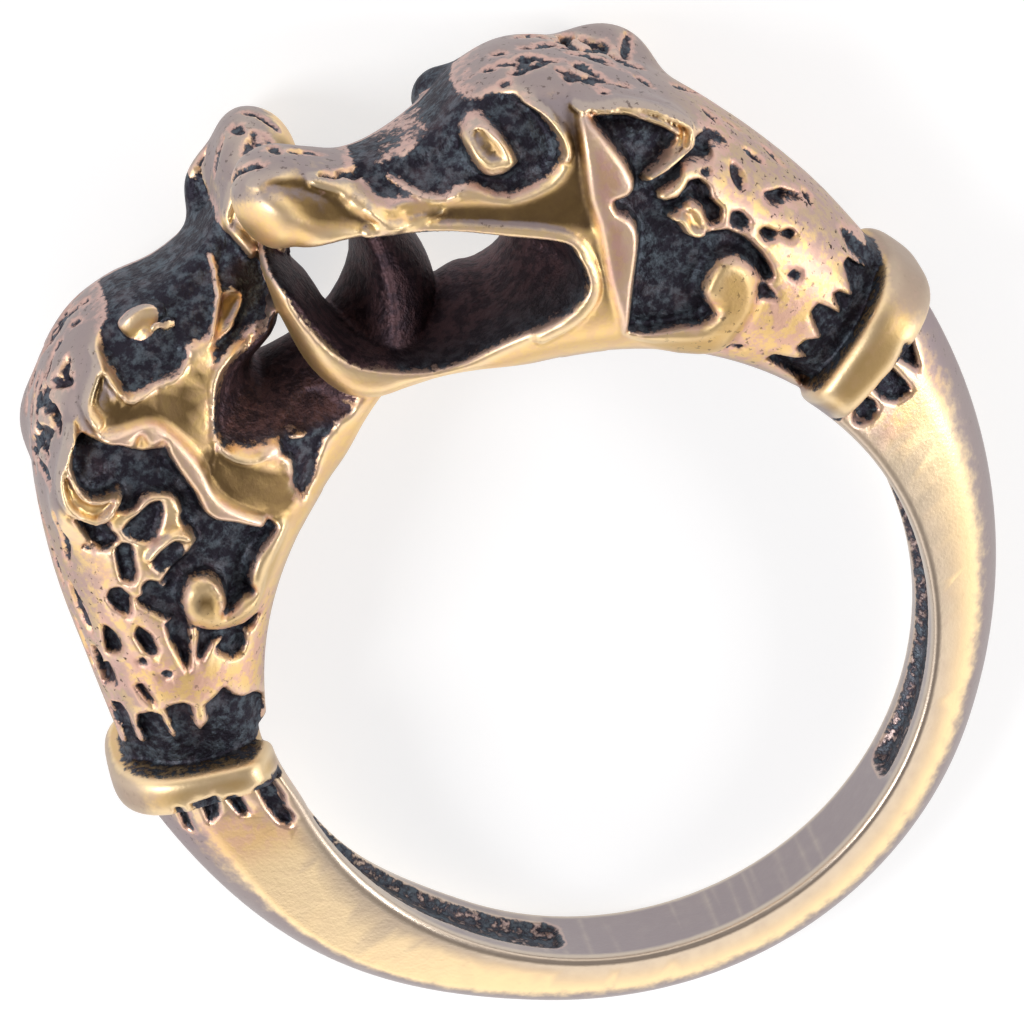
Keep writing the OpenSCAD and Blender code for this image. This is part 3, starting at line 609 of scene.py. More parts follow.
class Wax:
    """The ring as signed distances on a grid, in millimetres, with a grid of how stained it is."""

    # Half of its size across and along the finger, its lowest and highest place, and the lowest
    # places across and up that a head and its neck take up
    ACROSS, ALONG = 15.3, 5.2
    LOW, HIGH = -12.6, 21.0
    HEAD_LEFT, HEAD_LOW = -3.4, 0.9

    def __init__(self, step):
        self.step = step
        half = [int(round(r / step)) for r in (self.ACROSS, self.ALONG)]
        self.x, self.z = [(np.arange(2 * n + 1) - n).astype(np.float32) * np.float32(step) for n in half]
        self.y = np.arange(self.LOW, self.HIGH, step, dtype=np.float32)
        shape = (len(self.x), len(self.y), len(self.z))
        self.solid = np.full(shape, 3, np.float32)
        self.stain = np.full(shape, -1, np.float32)

    def head_view(self, turned):
        """Views of the solid and the stain in a head's own frame, above the middle of the band."""
        left = int(np.searchsorted(self.x, self.HEAD_LEFT))
        low = int(np.searchsorted(self.y, self.HEAD_LOW))
        way = slice(None, None, -1) if turned else slice(None)
        views = [grid[way, low:, way][left:] for grid in (self.solid, self.stain)]
        return views, self.x[left:], self.y[low:], self.z


def bump(x, y, z, place, size, turn=0.0):
    """Signed distance, near its surface, to an ellipsoid turned about the finger."""
    c, s = math.cos(turn), math.sin(turn)
    x, y, w = x - place[0], y - place[1], z - place[2]
    u, v = x * c + y * s, y * c - x * s
    reach = np.sqrt((u / size[0]) ** 2 + (v / size[1]) ** 2 + (w / size[2]) ** 2)
    return ((reach - 1) * min(size)).astype(np.float32)


def model_head(wax, turned, sizes):
    """Adds one head with its neck to the wax."""
    (solid, stain), xs, ys, zs = wax.head_view(turned)
    x, y = xs[:, None], ys[None, :]
    z = zs[None, None, :]
    angle = np.degrees(np.arctan2(x, y))
    radius = np.hypot(x, y)

    def under(line, back):
        """Depth under a line, within the outline that it makes with its way back."""
        line = spread(places(line))
        off = line_distance(x, y, line)
        return np.where(within(x, y, np.concatenate([line, places(back)])), off, -off)

    lips = -depth_in(x, y, spread(MOUTH[turned], 3, closed=True))
    throat = -depth_in(x, y, spread(THROAT[turned], 3, closed=True))
    opened = smoothstep(0, THROAT_REACH[turned], np.abs(z - THROAT_Z[turned]))
    from_mouth = throat[..., None] + (lips - throat)[..., None] * opened
    from_mouth = np.where(lips[..., None] > 0.6, lips[..., None], from_mouth).astype(np.float32)

    def slab(depth, rounding, sides, lip):
        """Part of the head between its sides, cut back at its edge, the bore and the mouth."""
        far, near = [eased(sides, angle, k + 2 * turned) for k in (1, 2)]
        middle, half = upright((far + near) / 2), upright((near - far) / 2)
        edges = [
            (upright(radius - BORE_R), np.float32(BORE_ROUND[turned])),
            (upright(depth), upright(rounding)),
            (from_mouth, np.float32(lip)),
        ]
        return rounded(edges, np.abs(z - middle) / half, half, np.float32(FULLNESS)), middle

    crest_depth, jaw_depth = under(CREST[turned], CREST_BACK), under(JAW, JAW_BACK)
    upper, middle = slab(crest_depth, eased(CREST_ROUND, angle), SKULL_SIDES, SKULL_LIP)
    lower, _ = slab(jaw_depth, np.full_like(angle, JAW_ROUND), JAW_SIDES, JAW_LIP)
    head = joined(upper, lower, JAW_FILLET)
    grid = x[..., None], y[..., None], z
    in_view = -1 if turned else 1
    a, r, across, long, high, wide = EAR_BUMP
    (place,) = places([(a, r)])
    for side in (-1, 1):
        low = EAR_LOW if side == in_view else 0
        size = (long, high - low, wide - low * EAR_NARROW)
        head = joined(head, bump(*grid, (*place, side * across), size, -math.radians(a)), EAR_FILLET)
    if turned:
        head = joined(head, bump(*grid, *NOSE_WING), WING_FILLET)
    for place, size in EYE_BEADS:
        head = joined(head, bump(*grid, place, size), EYE_FILLET)
    facing = np.gradient(head, wax.step, axis=2)
    dark = np.full_like(head, -1)
    for side, tables in ((-in_view, BOTH[turned]), (in_view, BOTH[1 - turned])):
        shown = side == in_view
        height, stained = chased(xs, ys, *tables, sizes.carving)
        if not shown:
            height = np.minimum(height, HIDDEN_RISE)
        low = FACING_FROM[shown]
        head = head - height[..., None] * smoothstep(low, low + FACING_EASE, side * facing)
        here = side * (z - middle) > BLACK_FROM[shown]
        dark = np.where(here, np.minimum(stained[..., None], (side * facing + 0.2) * 3), dark)
    dark = np.maximum(dark, LIP_BLACK - np.abs(from_mouth))
    if turned:
        for place, size in EYE_SPOTS:
            dark = np.minimum(dark, bump(*grid, place, size) * 2).astype(np.float32)
    else:
        brow = bump(*grid, *FAR_BROW)
        dark = np.where(brow < head, 0.2, dark).astype(np.float32)
        head = joined(head, brow, BROW_FILLET)
    np.copyto(stain, dark, where=head < solid)
    past_collar = upright((angle - COLLAR_A[turned] - 1) * math.radians(1) * radius)
    solid[...] = joined(solid, np.maximum(head, past_collar), COLLAR_FILLET)


def chase_pits(wax, turned, sizes):
    """Punches the small pits of a head, which are drawn by their ends on its surface."""
    way = -1 if turned else 1
    rows = np.array(NEAR_PITS + FAR_PITS)
    ends = rows[:, :6].reshape(-1, 3) * (way, 1, way)
    for _ in range(4):
        ends = on_surface(wax, ends, wax.step)
    outward = slope_at(wax, (ends[::2] + ends[1::2]) / 2, wax.step * 2)
    outward /= np.linalg.norm(outward, axis=1)[:, None]
    for a, b, normal, wide in zip(ends[::2], ends[1::2], outward, rows[:, 6]):
        low, high = np.minimum(a, b) - 0.6, np.maximum(a, b) + 0.6
        w = tuple(window(v, low[k], high[k]) for k, v in enumerate((wax.x, wax.y, wax.z)))
        p = np.stack(np.meshgrid(wax.x[w[0]], wax.y[w[1]], wax.z[w[2]], indexing="ij"), axis=-1) - a
        along = b - a
        t = np.clip((p @ along) / max(along @ along, 1e-6), 0, 1)
        off = p - t[..., None] * along
        lift = off @ normal
        across = np.sqrt(np.maximum((off**2).sum(-1) - lift**2, 0))
        half = wide * (1 - np.abs(2 * t - 1) ** PIT_ROUND) + PIT_SOFT
        near = smoothstep(0.75, 0.45, np.abs(lift))
        deep = min(PIT_DEEPEST, wide + PIT_EXTRA) * sizes.carving
        cut = deep * np.sqrt(np.maximum(1 - (across / (half + PIT_SOFT)) ** 2, 0)) * near
        wax.solid[w] += cut.astype(np.float32)
        wax.stain[w] = np.maximum(wax.stain[w], np.where(near > 0.5, half - across, -1))


# Radius of the finger hole, and how far the right and the left neck round over towards it
BORE_R, BORE_ROUND = 10.0, (2.7, 4.1)
# Wear of the hole on the left: how much wider it is under the head, and how fast it widens
# downwards past the head
BORE_FLARE = 0.36, 0.19
# Band where it leaves the collars: thickness and width, and degrees that it takes to slim down
BAND_ROOT_T, BAND_ROOT_W, BAND_TAPER = 5.1, 5.0, 70
# How much thicker the band is on its left, how many degrees past the collar, and over how many
BAND_LEFT, LEFT_AT, LEFT_OVER = 0.48, 37, 26
# Rounding of the band's crest, and the fillet where the band meets the collars
CREST_SOFT, BAND_FILLET = 0.25, 0.1
# Angles of the collars of the right and the left head, their lengths, and half their heights
COLLAR_A, COLLAR_L = (69.5, 70.6), (1.5, 1.15)
COLLAR_R = 2.35, 2.6
# Radii over the bore of the line that the collars' lengths are taken on and of their middles, half
# their breadth along the finger, and how square they are in section and along the band
COLLAR_LINE, COLLAR_MIDDLE, COLLAR_W, COLLAR_SQUARE, COLLAR_BLUNT = 2.3, 2.1, 2.65, 3.2, 3.4
# Where the side of the band creases, as a share of its thickness, and how much more on its left
BAND_CREASE, LEFT_CREASE = 0.64, 0.12
# Section of the band from the bore to the crest: share of the way to the crease, share of the way
# from there to the crest, share of half the width, rounding of the edge
BAND_SECTION = [
    (0, 0, 0.93, 0), (0.11, 0, 1, 0.08), (1, 0, 0.69, 0.1), (1, 0.58, 0.46, 0.35), (1, 0.88, 0.2, 0.35),
    (1, 1, 0, 0),
]
# Channel in the bore: angle it starts at, angles it ends at on the right and the left, depth, and
# half its width at two angles
CHANNEL, CHANNEL_WIDE = (66, (151, 141), 0.32), ((84, 120), (1.7, 0.78))
CHANNEL_ROUND = 0.4


def from_collar(x, y):
    """Degrees from the middle of the collar of the same side towards the back of the band."""
    return np.degrees(np.arctan2(np.abs(x), y)) - np.where(x < 0, COLLAR_A[1], COLLAR_A[0])


def model_band(wax, sizes):
    """Adds the band, from collar to collar round the back."""
    x, y = wax.x[:, None], wax.y[None, :]
    angle = from_collar(x, y)
    radius = np.hypot(x, y)
    near_head = np.clip(1 - (angle + 1) / BAND_TAPER, 0, 1) ** 2
    left = np.exp(-(((angle - LEFT_AT) / LEFT_OVER) ** 2)) * smoothstep(2, -2, x)
    band_t, band_w = sizes.band_thick / MM, sizes.band_wide / MM
    thick = band_t + (BAND_ROOT_T - band_t) * near_head + BAND_LEFT * left
    half_w = (band_w + (BAND_ROOT_W - band_w) * near_head) / 2
    crease = BAND_CREASE + LEFT_CREASE * left
    z = np.hypot(wax.z, CREST_SOFT)[None, None, :]
    deep = (radius - BORE_R)[..., None]
    solid = None
    for (a0, b0, w0, edge), (a1, b1, w1, _) in zip(BAND_SECTION, BAND_SECTION[1:]):
        r0, r1 = [(a * crease + b * (1 - crease)) * thick for a, b in ((a0, b0), (a1, b1))]
        along_r, along_w = r1 - r0, (w1 - w0) * half_w
        length = np.hypot(along_r, along_w)
        nr, nw = (-along_w / length)[..., None], (along_r / length)[..., None]
        face = (deep - r0[..., None]) * nr + (z - (w0 * half_w)[..., None]) * nw
        face = face.astype(np.float32)
        solid = face if solid is None else trimmed(solid, face, edge)
    start = upright((-2 - angle) * math.radians(1) * radius)
    wax.solid[...] = joined(wax.solid, np.maximum(solid, start), BAND_FILLET)


def model_collar(wax, sizes):
    """Adds the collars that the necks end in."""
    x, y = wax.x[:, None], wax.y[None, :]
    radius = np.hypot(x, y)
    along = (from_collar(x, y) * math.radians(1) * (BORE_R + COLLAR_LINE))[..., None]
    z = wax.z[None, None, :]
    length, tall = [np.where(x < 0, pair[1], pair[0])[..., None] for pair in (COLLAR_L, COLLAR_R)]
    u = np.abs((radius - (BORE_R + COLLAR_MIDDLE))[..., None] / tall)
    v = np.abs(z / COLLAR_W)
    p = COLLAR_SQUARE
    reach = np.maximum(u**p + v**p, 1e-3) ** (1 / p)
    slope = reach ** (1 - p) * np.sqrt((u ** (p - 1) / tall) ** 2 + (v ** (p - 1) / COLLAR_W) ** 2)
    over = (reach - 1) / np.maximum(slope, 0.05)
    high = sizes.collar_high / MM * 0.8
    p = COLLAR_BLUNT
    bead = ((np.abs(along / (length / 2)) ** p + (np.maximum(over, 0) / high) ** p) ** (1 / p) - 1) * 0.6
    bead = bead.astype(np.float32)
    wax.solid[...] = joined(wax.solid, bead, 0.08)
    bare = bead * 1.5 - 0.22 + 0.35 * smoothstep(-0.35, -0.6, along / length)
    np.minimum(wax.stain, np.maximum(bare, -1).astype(np.float32), out=wax.stain)
    crease = 0.07 - np.abs(along - length / 2 - 0.05)
    np.maximum(wax.stain, crease.astype(np.float32), out=wax.stain)


def chase_drops(wax, turned, sizes):
    """Cuts the drops of blacking that run from a collar on to the band."""
    (solid, stain), xs, ys, zs = wax.head_view(turned)
    first = int(np.searchsorted(xs, 9.5))
    solid, stain, xs, z = solid[first:], stain[first:], xs[first:], zs[None, None, :]
    facing = np.gradient(solid, wax.step, axis=2)
    for side, drops in zip((1, -1), DROPS):
        height, stained = chased(xs, ys, drops, [], [], [], sizes.carving)
        solid -= height[..., None] * smoothstep(0.15, 0.5, side * facing)
        np.maximum(stain, np.where(side * z > 0.4, stained[..., None], -1), out=stain)


def bore_out(wax):
    """Cuts the round finger hole, with its rims eased and a shallow channel round the band's inside."""
    x, y = wax.x[:, None], wax.y[None, :]
    z = np.abs(wax.z)[None, None, :]
    radius = np.hypot(x, y)[..., None]
    angle = np.degrees(np.arctan2(np.abs(x), y))[..., None]
    start, ends, depth = CHANNEL
    end = np.where(x < 0, ends[1], ends[0])[..., None]
    half = np.interp(angle, *CHANNEL_WIDE)
    past_end = np.maximum(angle - end, start - angle) * math.radians(1) * BORE_R
    past = [np.maximum(v + CHANNEL_ROUND, 0) for v in (z - half, past_end)]
    outside = np.hypot(*past) - CHANNEL_ROUND
    rim = BORE_R + 0.16 * np.maximum(z - 1.2, 0) ** 2 + depth * smoothstep(0.15, -0.2, outside)
    worn = np.where(x < 0, 1, 0)[..., None] * smoothstep(0, 12, angle) * smoothstep(125, 95, angle)
    flare = BORE_FLARE[1] * smoothstep(62, 78, angle) * np.maximum(0.8 - wax.z, 0)
    rim = rim + worn * (BORE_FLARE[0] * smoothstep(82, 68, angle) + flare)
    edge = (0.35 - 0.25 * smoothstep(COLLAR_A[0], COLLAR_A[0] + 5, angle)).astype(np.float32)
    wax.solid[...] = trimmed(wax.solid, (rim - radius).astype(np.float32), edge)
    there = (radius < BORE_R + 0.7) & (outside < 0.3)
    np.copyto(wax.stain, np.minimum(0.02, 0.1 - outside).astype(np.float32), where=there)


def build(wax, sizes):
    """Models the whole ring in wax."""
    for turned in (False, True):
        model_head(wax, turned, sizes)
    for turned in (False, True):
        chase_pits(wax, turned, sizes)
    model_collar(wax, sizes)
    model_band(wax, sizes)
    for turned in (False, True):
        chase_drops(wax, turned, sizes)
    bore_out(wax)


def sample(grid, wax, points):
    """Values of a grid at points, blended from the eight places round each."""
    base = np.array([wax.x[0], wax.y[0], wax.z[0]])
    q = (points - base) / wax.step
    i = np.clip(q.astype(int), 0, np.array(grid.shape) - 2)
    f = q - i
    value = 0
    for corner in range(8):
        o = np.array([corner >> 2 & 1, corner >> 1 & 1, corner & 1])
        w = np.prod(np.where(o, f, 1 - f), axis=1)
        j = i + o
        value = value + w * grid[j[:, 0], j[:, 1], j[:, 2]]
    return value


def slope_at(wax, points, reach):
    """Direction in which the signed distance grows at points."""
    out = []
    for axis in range(3):
        o = np.zeros(3)
        o[axis] = reach
        above, below = [sample(wax.solid, wax, p) for p in (points + o, points - o)]
        out.append((above - below) / (2 * reach))
    return np.stack(out, axis=1)


def on_surface(wax, points, reach):
    """Points moved along the slope to where the signed distance is about zero."""
    slope = slope_at(wax, points, reach)
    return points - slope * (sample(wax.solid, wax, points) / np.maximum((slope**2).sum(1), 0.2))[:, None]


def skin(wax):
    """Corners and four sided faces of the surface where the signed distance is zero."""
    d = wax.solid
    inside = d < 0
    count = np.zeros([n - 1 for n in d.shape], np.int8)
    for corner in range(8):
        o = corner >> 2 & 1, corner >> 1 & 1, corner & 1
        count += inside[tuple(slice(k, n - 1 + k) for k, n in zip(o, d.shape))]
    cells = np.argwhere((count > 0) & (count < 8))
    number = np.full(count.shape, -1, np.int32)
    number[tuple(cells.T)] = np.arange(len(cells))
    total = np.zeros((len(cells), 3))
    hits = np.zeros(len(cells))
    corners = [np.array([c >> 2 & 1, c >> 1 & 1, c & 1]) for c in range(8)]
    values = [d[tuple((cells + o).T)] for o in corners]
    for a in range(8):
        for axis in range(3):
            if not corners[a][axis]:
                b = a | (4, 2, 1)[axis]
                cut = (values[a] < 0) != (values[b] < 0)
                t = values[a] / np.where(cut, values[a] - values[b], 1)
                place = corners[a] + t[:, None] * np.eye(3)[axis]
                total += np.where(cut[:, None], place, 0)
                hits += cut
    corner = cells + total / hits[:, None]
    base = np.array([wax.x[0], wax.y[0], wax.z[0]])
    faces = []
    for axis in range(3):
        one = [slice(1, -1)] * 3
        one[axis] = slice(0, -1)
        two = list(one)
        two[axis] = slice(1, None)
        crossing = inside[tuple(one)] != inside[tuple(two)]
        at = np.argwhere(crossing) + [0 if k == axis else 1 for k in range(3)]
        u, v = [np.eye(3, dtype=int)[k] for k in range(3) if k != axis]
        ring = [number[tuple((at - s * u - t * v).T)] for s, t in ((0, 0), (1, 0), (1, 1), (0, 1))]
        quad = np.stack(ring, axis=1)
        out = inside[tuple(at.T)] ^ (axis == 1)
        faces.append(np.where(out[:, None], quad, quad[:, ::-1]))
    return corner * wax.step + base, np.concatenate(faces)


def cast_mesh(wax, name, most):
    """Mesh of the wax in the wax's frame, with no more triangles than most."""
    corner, faces = skin(wax)
    for _ in range(2):
        corner = on_surface(wax, corner, wax.step * 0.5)
    mesh = bpy.data.meshes.new(name)
    mesh.from_pydata(corner, [], faces.tolist())
    mesh.validate()
    thing = bpy.data.objects.new(name, mesh)
    bpy.context.scene.collection.objects.link(thing)
    triangles = 2 * len(faces)
    if triangles > most:
        less = thing.modifiers.new("fewer", "DECIMATE")
        less.ratio = most / triangles
        reduced = thing.evaluated_get(bpy.context.evaluated_depsgraph_get())
        thing.data = bpy.data.meshes.new_from_object(reduced)
        thing.modifiers.clear()
        bpy.data.meshes.remove(mesh)
        mesh = thing.data
        mesh.name = name
    return thing


def corners_of(mesh):
    """Places of a mesh's corners."""
    co = np.empty(len(mesh.vertices) * 3, np.float32)
    mesh.vertices.foreach_get("co", co)
    return co.reshape(-1, 3).astype(float)


def settle(thing, wax):
    """Takes the mesh from the wax's frame to the world's, with normals from the signed distance."""
    mesh = thing.data
    co = corners_of(mesh)
    normal = slope_at(wax, co, wax.step * 1.1)
    normal /= np.linalg.norm(normal, axis=1)[:, None]
    turn = np.array(REST)
    mesh.vertices.foreach_set("co", (co @ turn.T * MM).astype(np.float32).ravel())
    mesh.update()
    mesh.polygons.foreach_set("use_smooth", np.ones(len(mesh.polygons), bool))
    mesh.normals_split_custom_set_from_vertices((normal @ turn.T).tolist())
    return co, normal


def box_blur(grid, cells):
    """Mean of a grid over boxes that reach so many cells each way."""
    for axis in range(3):
        pad = [(cells + 1, cells) if k == axis else (0, 0) for k in range(3)]
        run = np.cumsum(np.pad(grid, pad, mode="edge"), axis=axis, dtype=np.float32)
        n = grid.shape[axis]
        take = lambda i: run[tuple(slice(i, i + n) if k == axis else slice(None) for k in range(3))]
        grid = (take(2 * cells + 1) - take(0)) / (2 * cells + 1)
    return grid


def mark(mesh, name, values):
    """Keeps a value for each corner of the mesh, for its material."""
    mesh.attributes.new(name, "FLOAT", "POINT").data.foreach_set("value", values.astype(np.float32))


def mark_wear_and_painted_light(thing, wax, co, normal):
    """Notes on the mesh where polish and blacking lie, and where the material paints shade, highlights
    and reflections.
    """
    metal = np.clip(0.5 - wax.solid / wax.step, 0, 1)
    # dip and bowl measure how far the surface turns in at two sizes; the material paints shade in creases
    # and an olive reflection in bowls from them
    for name, reach in (("dip", 0.3), ("bowl", 1.1)):
        cells = max(1, int(round(reach / wax.step)))
        mark(thing.data, name, sample(box_blur(box_blur(metal, cells), cells), wax, co))
    away = co[:, :2] / np.linalg.norm(co[:, :2], axis=1)[:, None]
    mark(thing.data, "outward", (normal[:, :2] * away).sum(1))
    mark(thing.data, "blacking", np.clip(sample(wax.stain, wax, co), -1, 1))
    mark(thing.data, "bore", smoothstep(0.9, 0.1, np.linalg.norm(co[:, :2], axis=1) - BORE_R))
    mark(thing.data, "band", smoothstep(0, 25, from_collar(co[:, 0], co[:, 1])))
    past = from_collar(co[:, 0], co[:, 1])
    mark(thing.data, "neck", smoothstep(-34, -26, past) * smoothstep(-3, -5, past))
    mark(thing.data, "collar", smoothstep(4.5, 3.5, np.abs(past)))
    rosy = NEAR_RAISED[:1], FAR_RAISED[:1] + FAR_RAISED[3:]
    curls = NEAR_RAISED[3:4], FAR_RAISED[2:3]
    # The dents mark where the painted olive reflection goes; rosy and curl mark raised places
    for name, tables in (("olive", (NEAR_DENTS, FAR_DENTS)), ("rosy", rosy), ("curl", curls)):
        share = np.zeros(len(co))
        for way in (1, -1):
            x, y, up = way * co[:, 0], co[:, 1], way * normal[:, 2]
            for side, outlines in zip((1, -1), tables):
                for _, _, outline in outlines:
                    inner = smoothstep(-0.12, 0.14, depth_in(x, y, spread(outline, 2, closed=True)))
                    share = np.maximum(share, inner * smoothstep(0.1, 0.4, side * up))
        mark(thing.data, name, share)
    inside = np.zeros(len(co))
    for way, outline in zip((1, -1), MOUTH):
        inner = depth_in(way * co[:, 0], co[:, 1], spread(outline, 2, closed=True))
        inside = np.maximum(inside, smoothstep(-0.3, 0.2, inner))
    mark(thing.data, "mouth", inside)


class Value:
    """A socket's value in a material's sums."""

    def __init__(self, recipe, link):
        self.recipe, self.link = recipe, link

    def sum(self, kind, other, reflected=False):
        values = [other, self] if reflected else [self, other]
        node = self.recipe.node("ShaderNodeMath", {"operation": kind}, values)
        return Value(self.recipe, node.outputs[0])

    def __add__(self, other):
        return self.sum("ADD", other)

    def __sub__(self, other):
        return self.sum("SUBTRACT", other)

    def __rsub__(self, other):
        return self.sum("SUBTRACT", other, reflected=True)

    def __mul__(self, other):
        return self.sum("MULTIPLY", other)

    __radd__, __rmul__ = __add__, __mul__

    def most(self, other):
        return self.sum("MAXIMUM", other)

    def between(self, low, high):
        """0 below low, 1 above high, smooth between; the other way round where low is the higher."""
        ends = (low, high, 0.0, 1.0) if low < high else (high, low, 1.0, 0.0)
        inputs = {"Value": self, **dict(zip(("From Min", "From Max", "To Min", "To Max"), ends))}
        node = self.recipe.node("ShaderNodeMapRange", {"interpolation_type": "SMOOTHSTEP"}, inputs)
        return Value(self.recipe, node.outputs[0])


class Recipe:
    """Node tree of a material or a world, with short ways to put it together."""

    def __init__(self, owner):
        owner.use_nodes = True
        self.owner, self.tree = owner, owner.node_tree
        self.shader = self.tree.nodes.get("Principled BSDF") or self.tree.nodes["Background"]
        self.coordinates = self.node("ShaderNodeTexCoord", {}, {}).outputs
        self.place = Value(self, self.coordinates["Object"])

    def node(self, kind, settings, inputs):
        """A node of a kind, with its settings made first and then its sockets' values or links."""
        node = self.tree.nodes.new(kind)
        for key, value in settings.items():
            if key == "stops":
                points = node.color_ramp.elements
                while len(points) < len(value):
                    points.new(0.5)
                for point, (at, colour) in zip(points, value):
                    point.position, point.color = at, (*colour, 1)
            else:
                setattr(node, key, value)
        for key, value in inputs.items() if isinstance(inputs, dict) else enumerate(inputs):
            if isinstance(value, Value):
                self.tree.links.new(value.link, node.inputs[key])
            else:
                node.inputs[key].default_value = value
        return node

    def feed(self, **inputs):
        """Links values to the shader's sockets, named with _ for a space."""
        for key, value in inputs.items():
            self.tree.links.new(value.link, self.shader.inputs[key.replace("_", " ")])

    def noise(self, scale, detail=3.0, rough=0.5):
        """Noise from 0 to 1 whose lumps are about 1/scale of a millimetre across."""
        inputs = {"Vector": self.place, "Scale": scale / MM, "Detail": detail, "Roughness": rough}
        return Value(self, self.node("ShaderNodeTexNoise", {}, inputs).outputs["Fac"])

    def marked(self, name):
        """Value that is kept for each corner of the mesh."""
        node = self.node("ShaderNodeAttribute", {"attribute_name": name}, {})
        return Value(self, node.outputs["Fac"])

    def mixed(self, a, b, share):
        """Colour between two colours."""
        a, b = [c if isinstance(c, Value) else (*c[:3], 1) for c in (a, b)]
        node = self.node("ShaderNodeMix", {"data_type": "RGBA"}, {0: share, 6: a, 7: b})
        return Value(self, node.outputs[2])

    def bumped(self, height, depth):
        """Normal of a surface with bumps so deep, in millimetres."""
        inputs = {"Height": height, "Distance": depth * MM, "Strength": 1.0}
        return Value(self, self.node("ShaderNodeBump", {}, inputs).outputs["Normal"])


def bronze_finish(look):
    """Yellow bronze, blacked in hollows, pale on the band and where rubbed as a painted highlight, with
    polish where rubbed, with a painted olive reflection in bowls and dents, painted shade in creases, and
    a mauve outside that is partly dull skin, partly painted reflection.
    """
    r = Recipe(bpy.data.materials.new("cast bronze"))
    dip, bowl, outward, blacking = [r.marked(name) for name in ("dip", "bowl", "outward", "blacking")]
    bore, band, collar, neck = [r.marked(name) for name in ("bore", "band", "collar", "neck")]
    curl, olive, rosy, mouth = [r.marked(name) for name in ("curl", "olive", "rosy", "mouth")]
    grain = r.noise(5.0, 3, 0.6)
    speck = r.noise(11, 2)
    patch = r.noise(2.6, 4, 0.65)
    mottle = r.noise(1.3, 3, 0.6)
    cloud = r.noise(0.37, 2)

    edge = blacking + (grain - 0.5) * 0.22 + (patch - 0.5) * 0.22
    black = edge.between(-0.05, 0.02)
    near_black = (blacking + (patch - 0.5) * 0.7).between(-0.24, -0.04)
    # Painted shade in the small creases, where the surface turns in
    crease_shade = (dip + (patch - 0.5) * 0.06).between(0.55, 0.66) * (1 - band * 0.6)
    # Paler on convex edges: partly polish, partly a painted highlight
    rubbed_and_highlit = (dip + (mottle - 0.5) * 0.04).between(0.46, 0.37)
    # Painted olive reflection and shade in the broad bowls, where the surface turns in
    bowl_reflection = (bowl + (cloud - 0.5) * 0.14 + (patch - 0.5) * 0.06).between(0.49, 0.62)
    outer = (outward + (patch - 0.5) * 0.3 + (mottle - 0.5) * 0.25).between(0.38, 0.74)
    blotch = patch.between(0.42, 0.58)
    worn = 1 - band.most(collar) * 0.85
    dots = grain.between(0.61, 0.68) * (neck * 0.8 + 0.9 * outer) * worn
    root = band.between(0.02, 0.2) * band.between(0.9, 0.3)

    bloom = (blotch * (0.25 + 0.6 * neck) * worn).most(root * (0.3 + blotch * 0.5))
    # Mauve on the outward faces and in the bore: partly dull skin, partly a painted reflection of the dim
    # surroundings
    dull_skin_and_reflection = (outer * (0.92 - 0.3 * neck - 0.25 * collar)).most(bore * 0.95)
    layers = (
        # Painted highlight: the band takes the pale, washed-out tone of brightly lit bronze instead of
        # the gold
        (look.straw_highlight, (band - root * 0.6).most(0.1)),
        (look.gold, outward.between(0.1, 0.35) * band * 0.55),
        (look.copper, bloom),
        # Painted olive reflection in the bowls, and painted shade in the band's creases
        (look.olive, (bowl_reflection * 0.7).most(crease_shade * band * 2)),
        (look.copper, rosy * (0.6 + 0.4 * blotch)),
        (look.gold, curl * 0.9),
        # Painted olive reflection in the dents, and a little on the curls and collars
        (look.olive, (olive * (0.8 + 0.25 * mottle)).most(curl.most(collar) * 0.28)),
        # Dull skin and painted reflection in mauve
        (look.mauve, dull_skin_and_reflection),
        (look.copper, near_black * 0.55 * (1 - band * 0.5) * (1 - collar * 0.7)),
        # Pale tone on convex edges: polish and painted highlight
        (look.straw_highlight, rubbed_and_highlit * 0.4 * (1 - neck * 0.4) * (1 - outer * 0.6)),
        # Painted shade in the creases, and real dark specks on the necks and outer faces
        (look.crease_shade_and_specks, (crease_shade * 0.6).most(dots * 0.7)),
    )
    colour = look.gold
    for coat, share in layers:
        colour = r.mixed(colour, coat, share)
    # Painted grey green glints on the blacking, fewer in the mouths
    painted_glints = (patch * 0.65 + grain * 0.35).between(0.44, 0.62) * (0.7 - 0.55 * mouth)
    rusty = (mottle.between(0.5, 0.65) * 0.2).most(mouth * (0.35 + 0.6 * blotch))
    soot = r.mixed(r.mixed(look.black, look.glint, painted_glints), look.rust, rusty)
    dullness = 0.36 - 0.1 * band + 0.12 * patch + 0.06 * outer + black * 0.12 + 0.06 * neck
    r.feed(Base_Color=r.mixed(colour, soot, black), Roughness=dullness)
    r.shader.inputs["Metallic"].default_value = 1.0
    fine = (speck - 0.5) * (0.12 + black * 0.5)
    rough = (grain - 0.5) * (0.1 + neck * 0.3 + black * 1.6)
    r.feed(Normal=r.bumped(fine + rough + (mottle - 0.5) * 0.25, 0.035))
    return r.owner


def colour_of(name, text, value):
    return bpy.props.FloatVectorProperty(
        name=name, description=text, default=value, subtype="COLOR", size=3, min=0.0, max=1.0
    )


def length_of(name, text, value):
    return bpy.props.FloatProperty(
        name=name, description=text, default=value * MM, subtype="DISTANCE", unit="LENGTH", min=0.0
    )


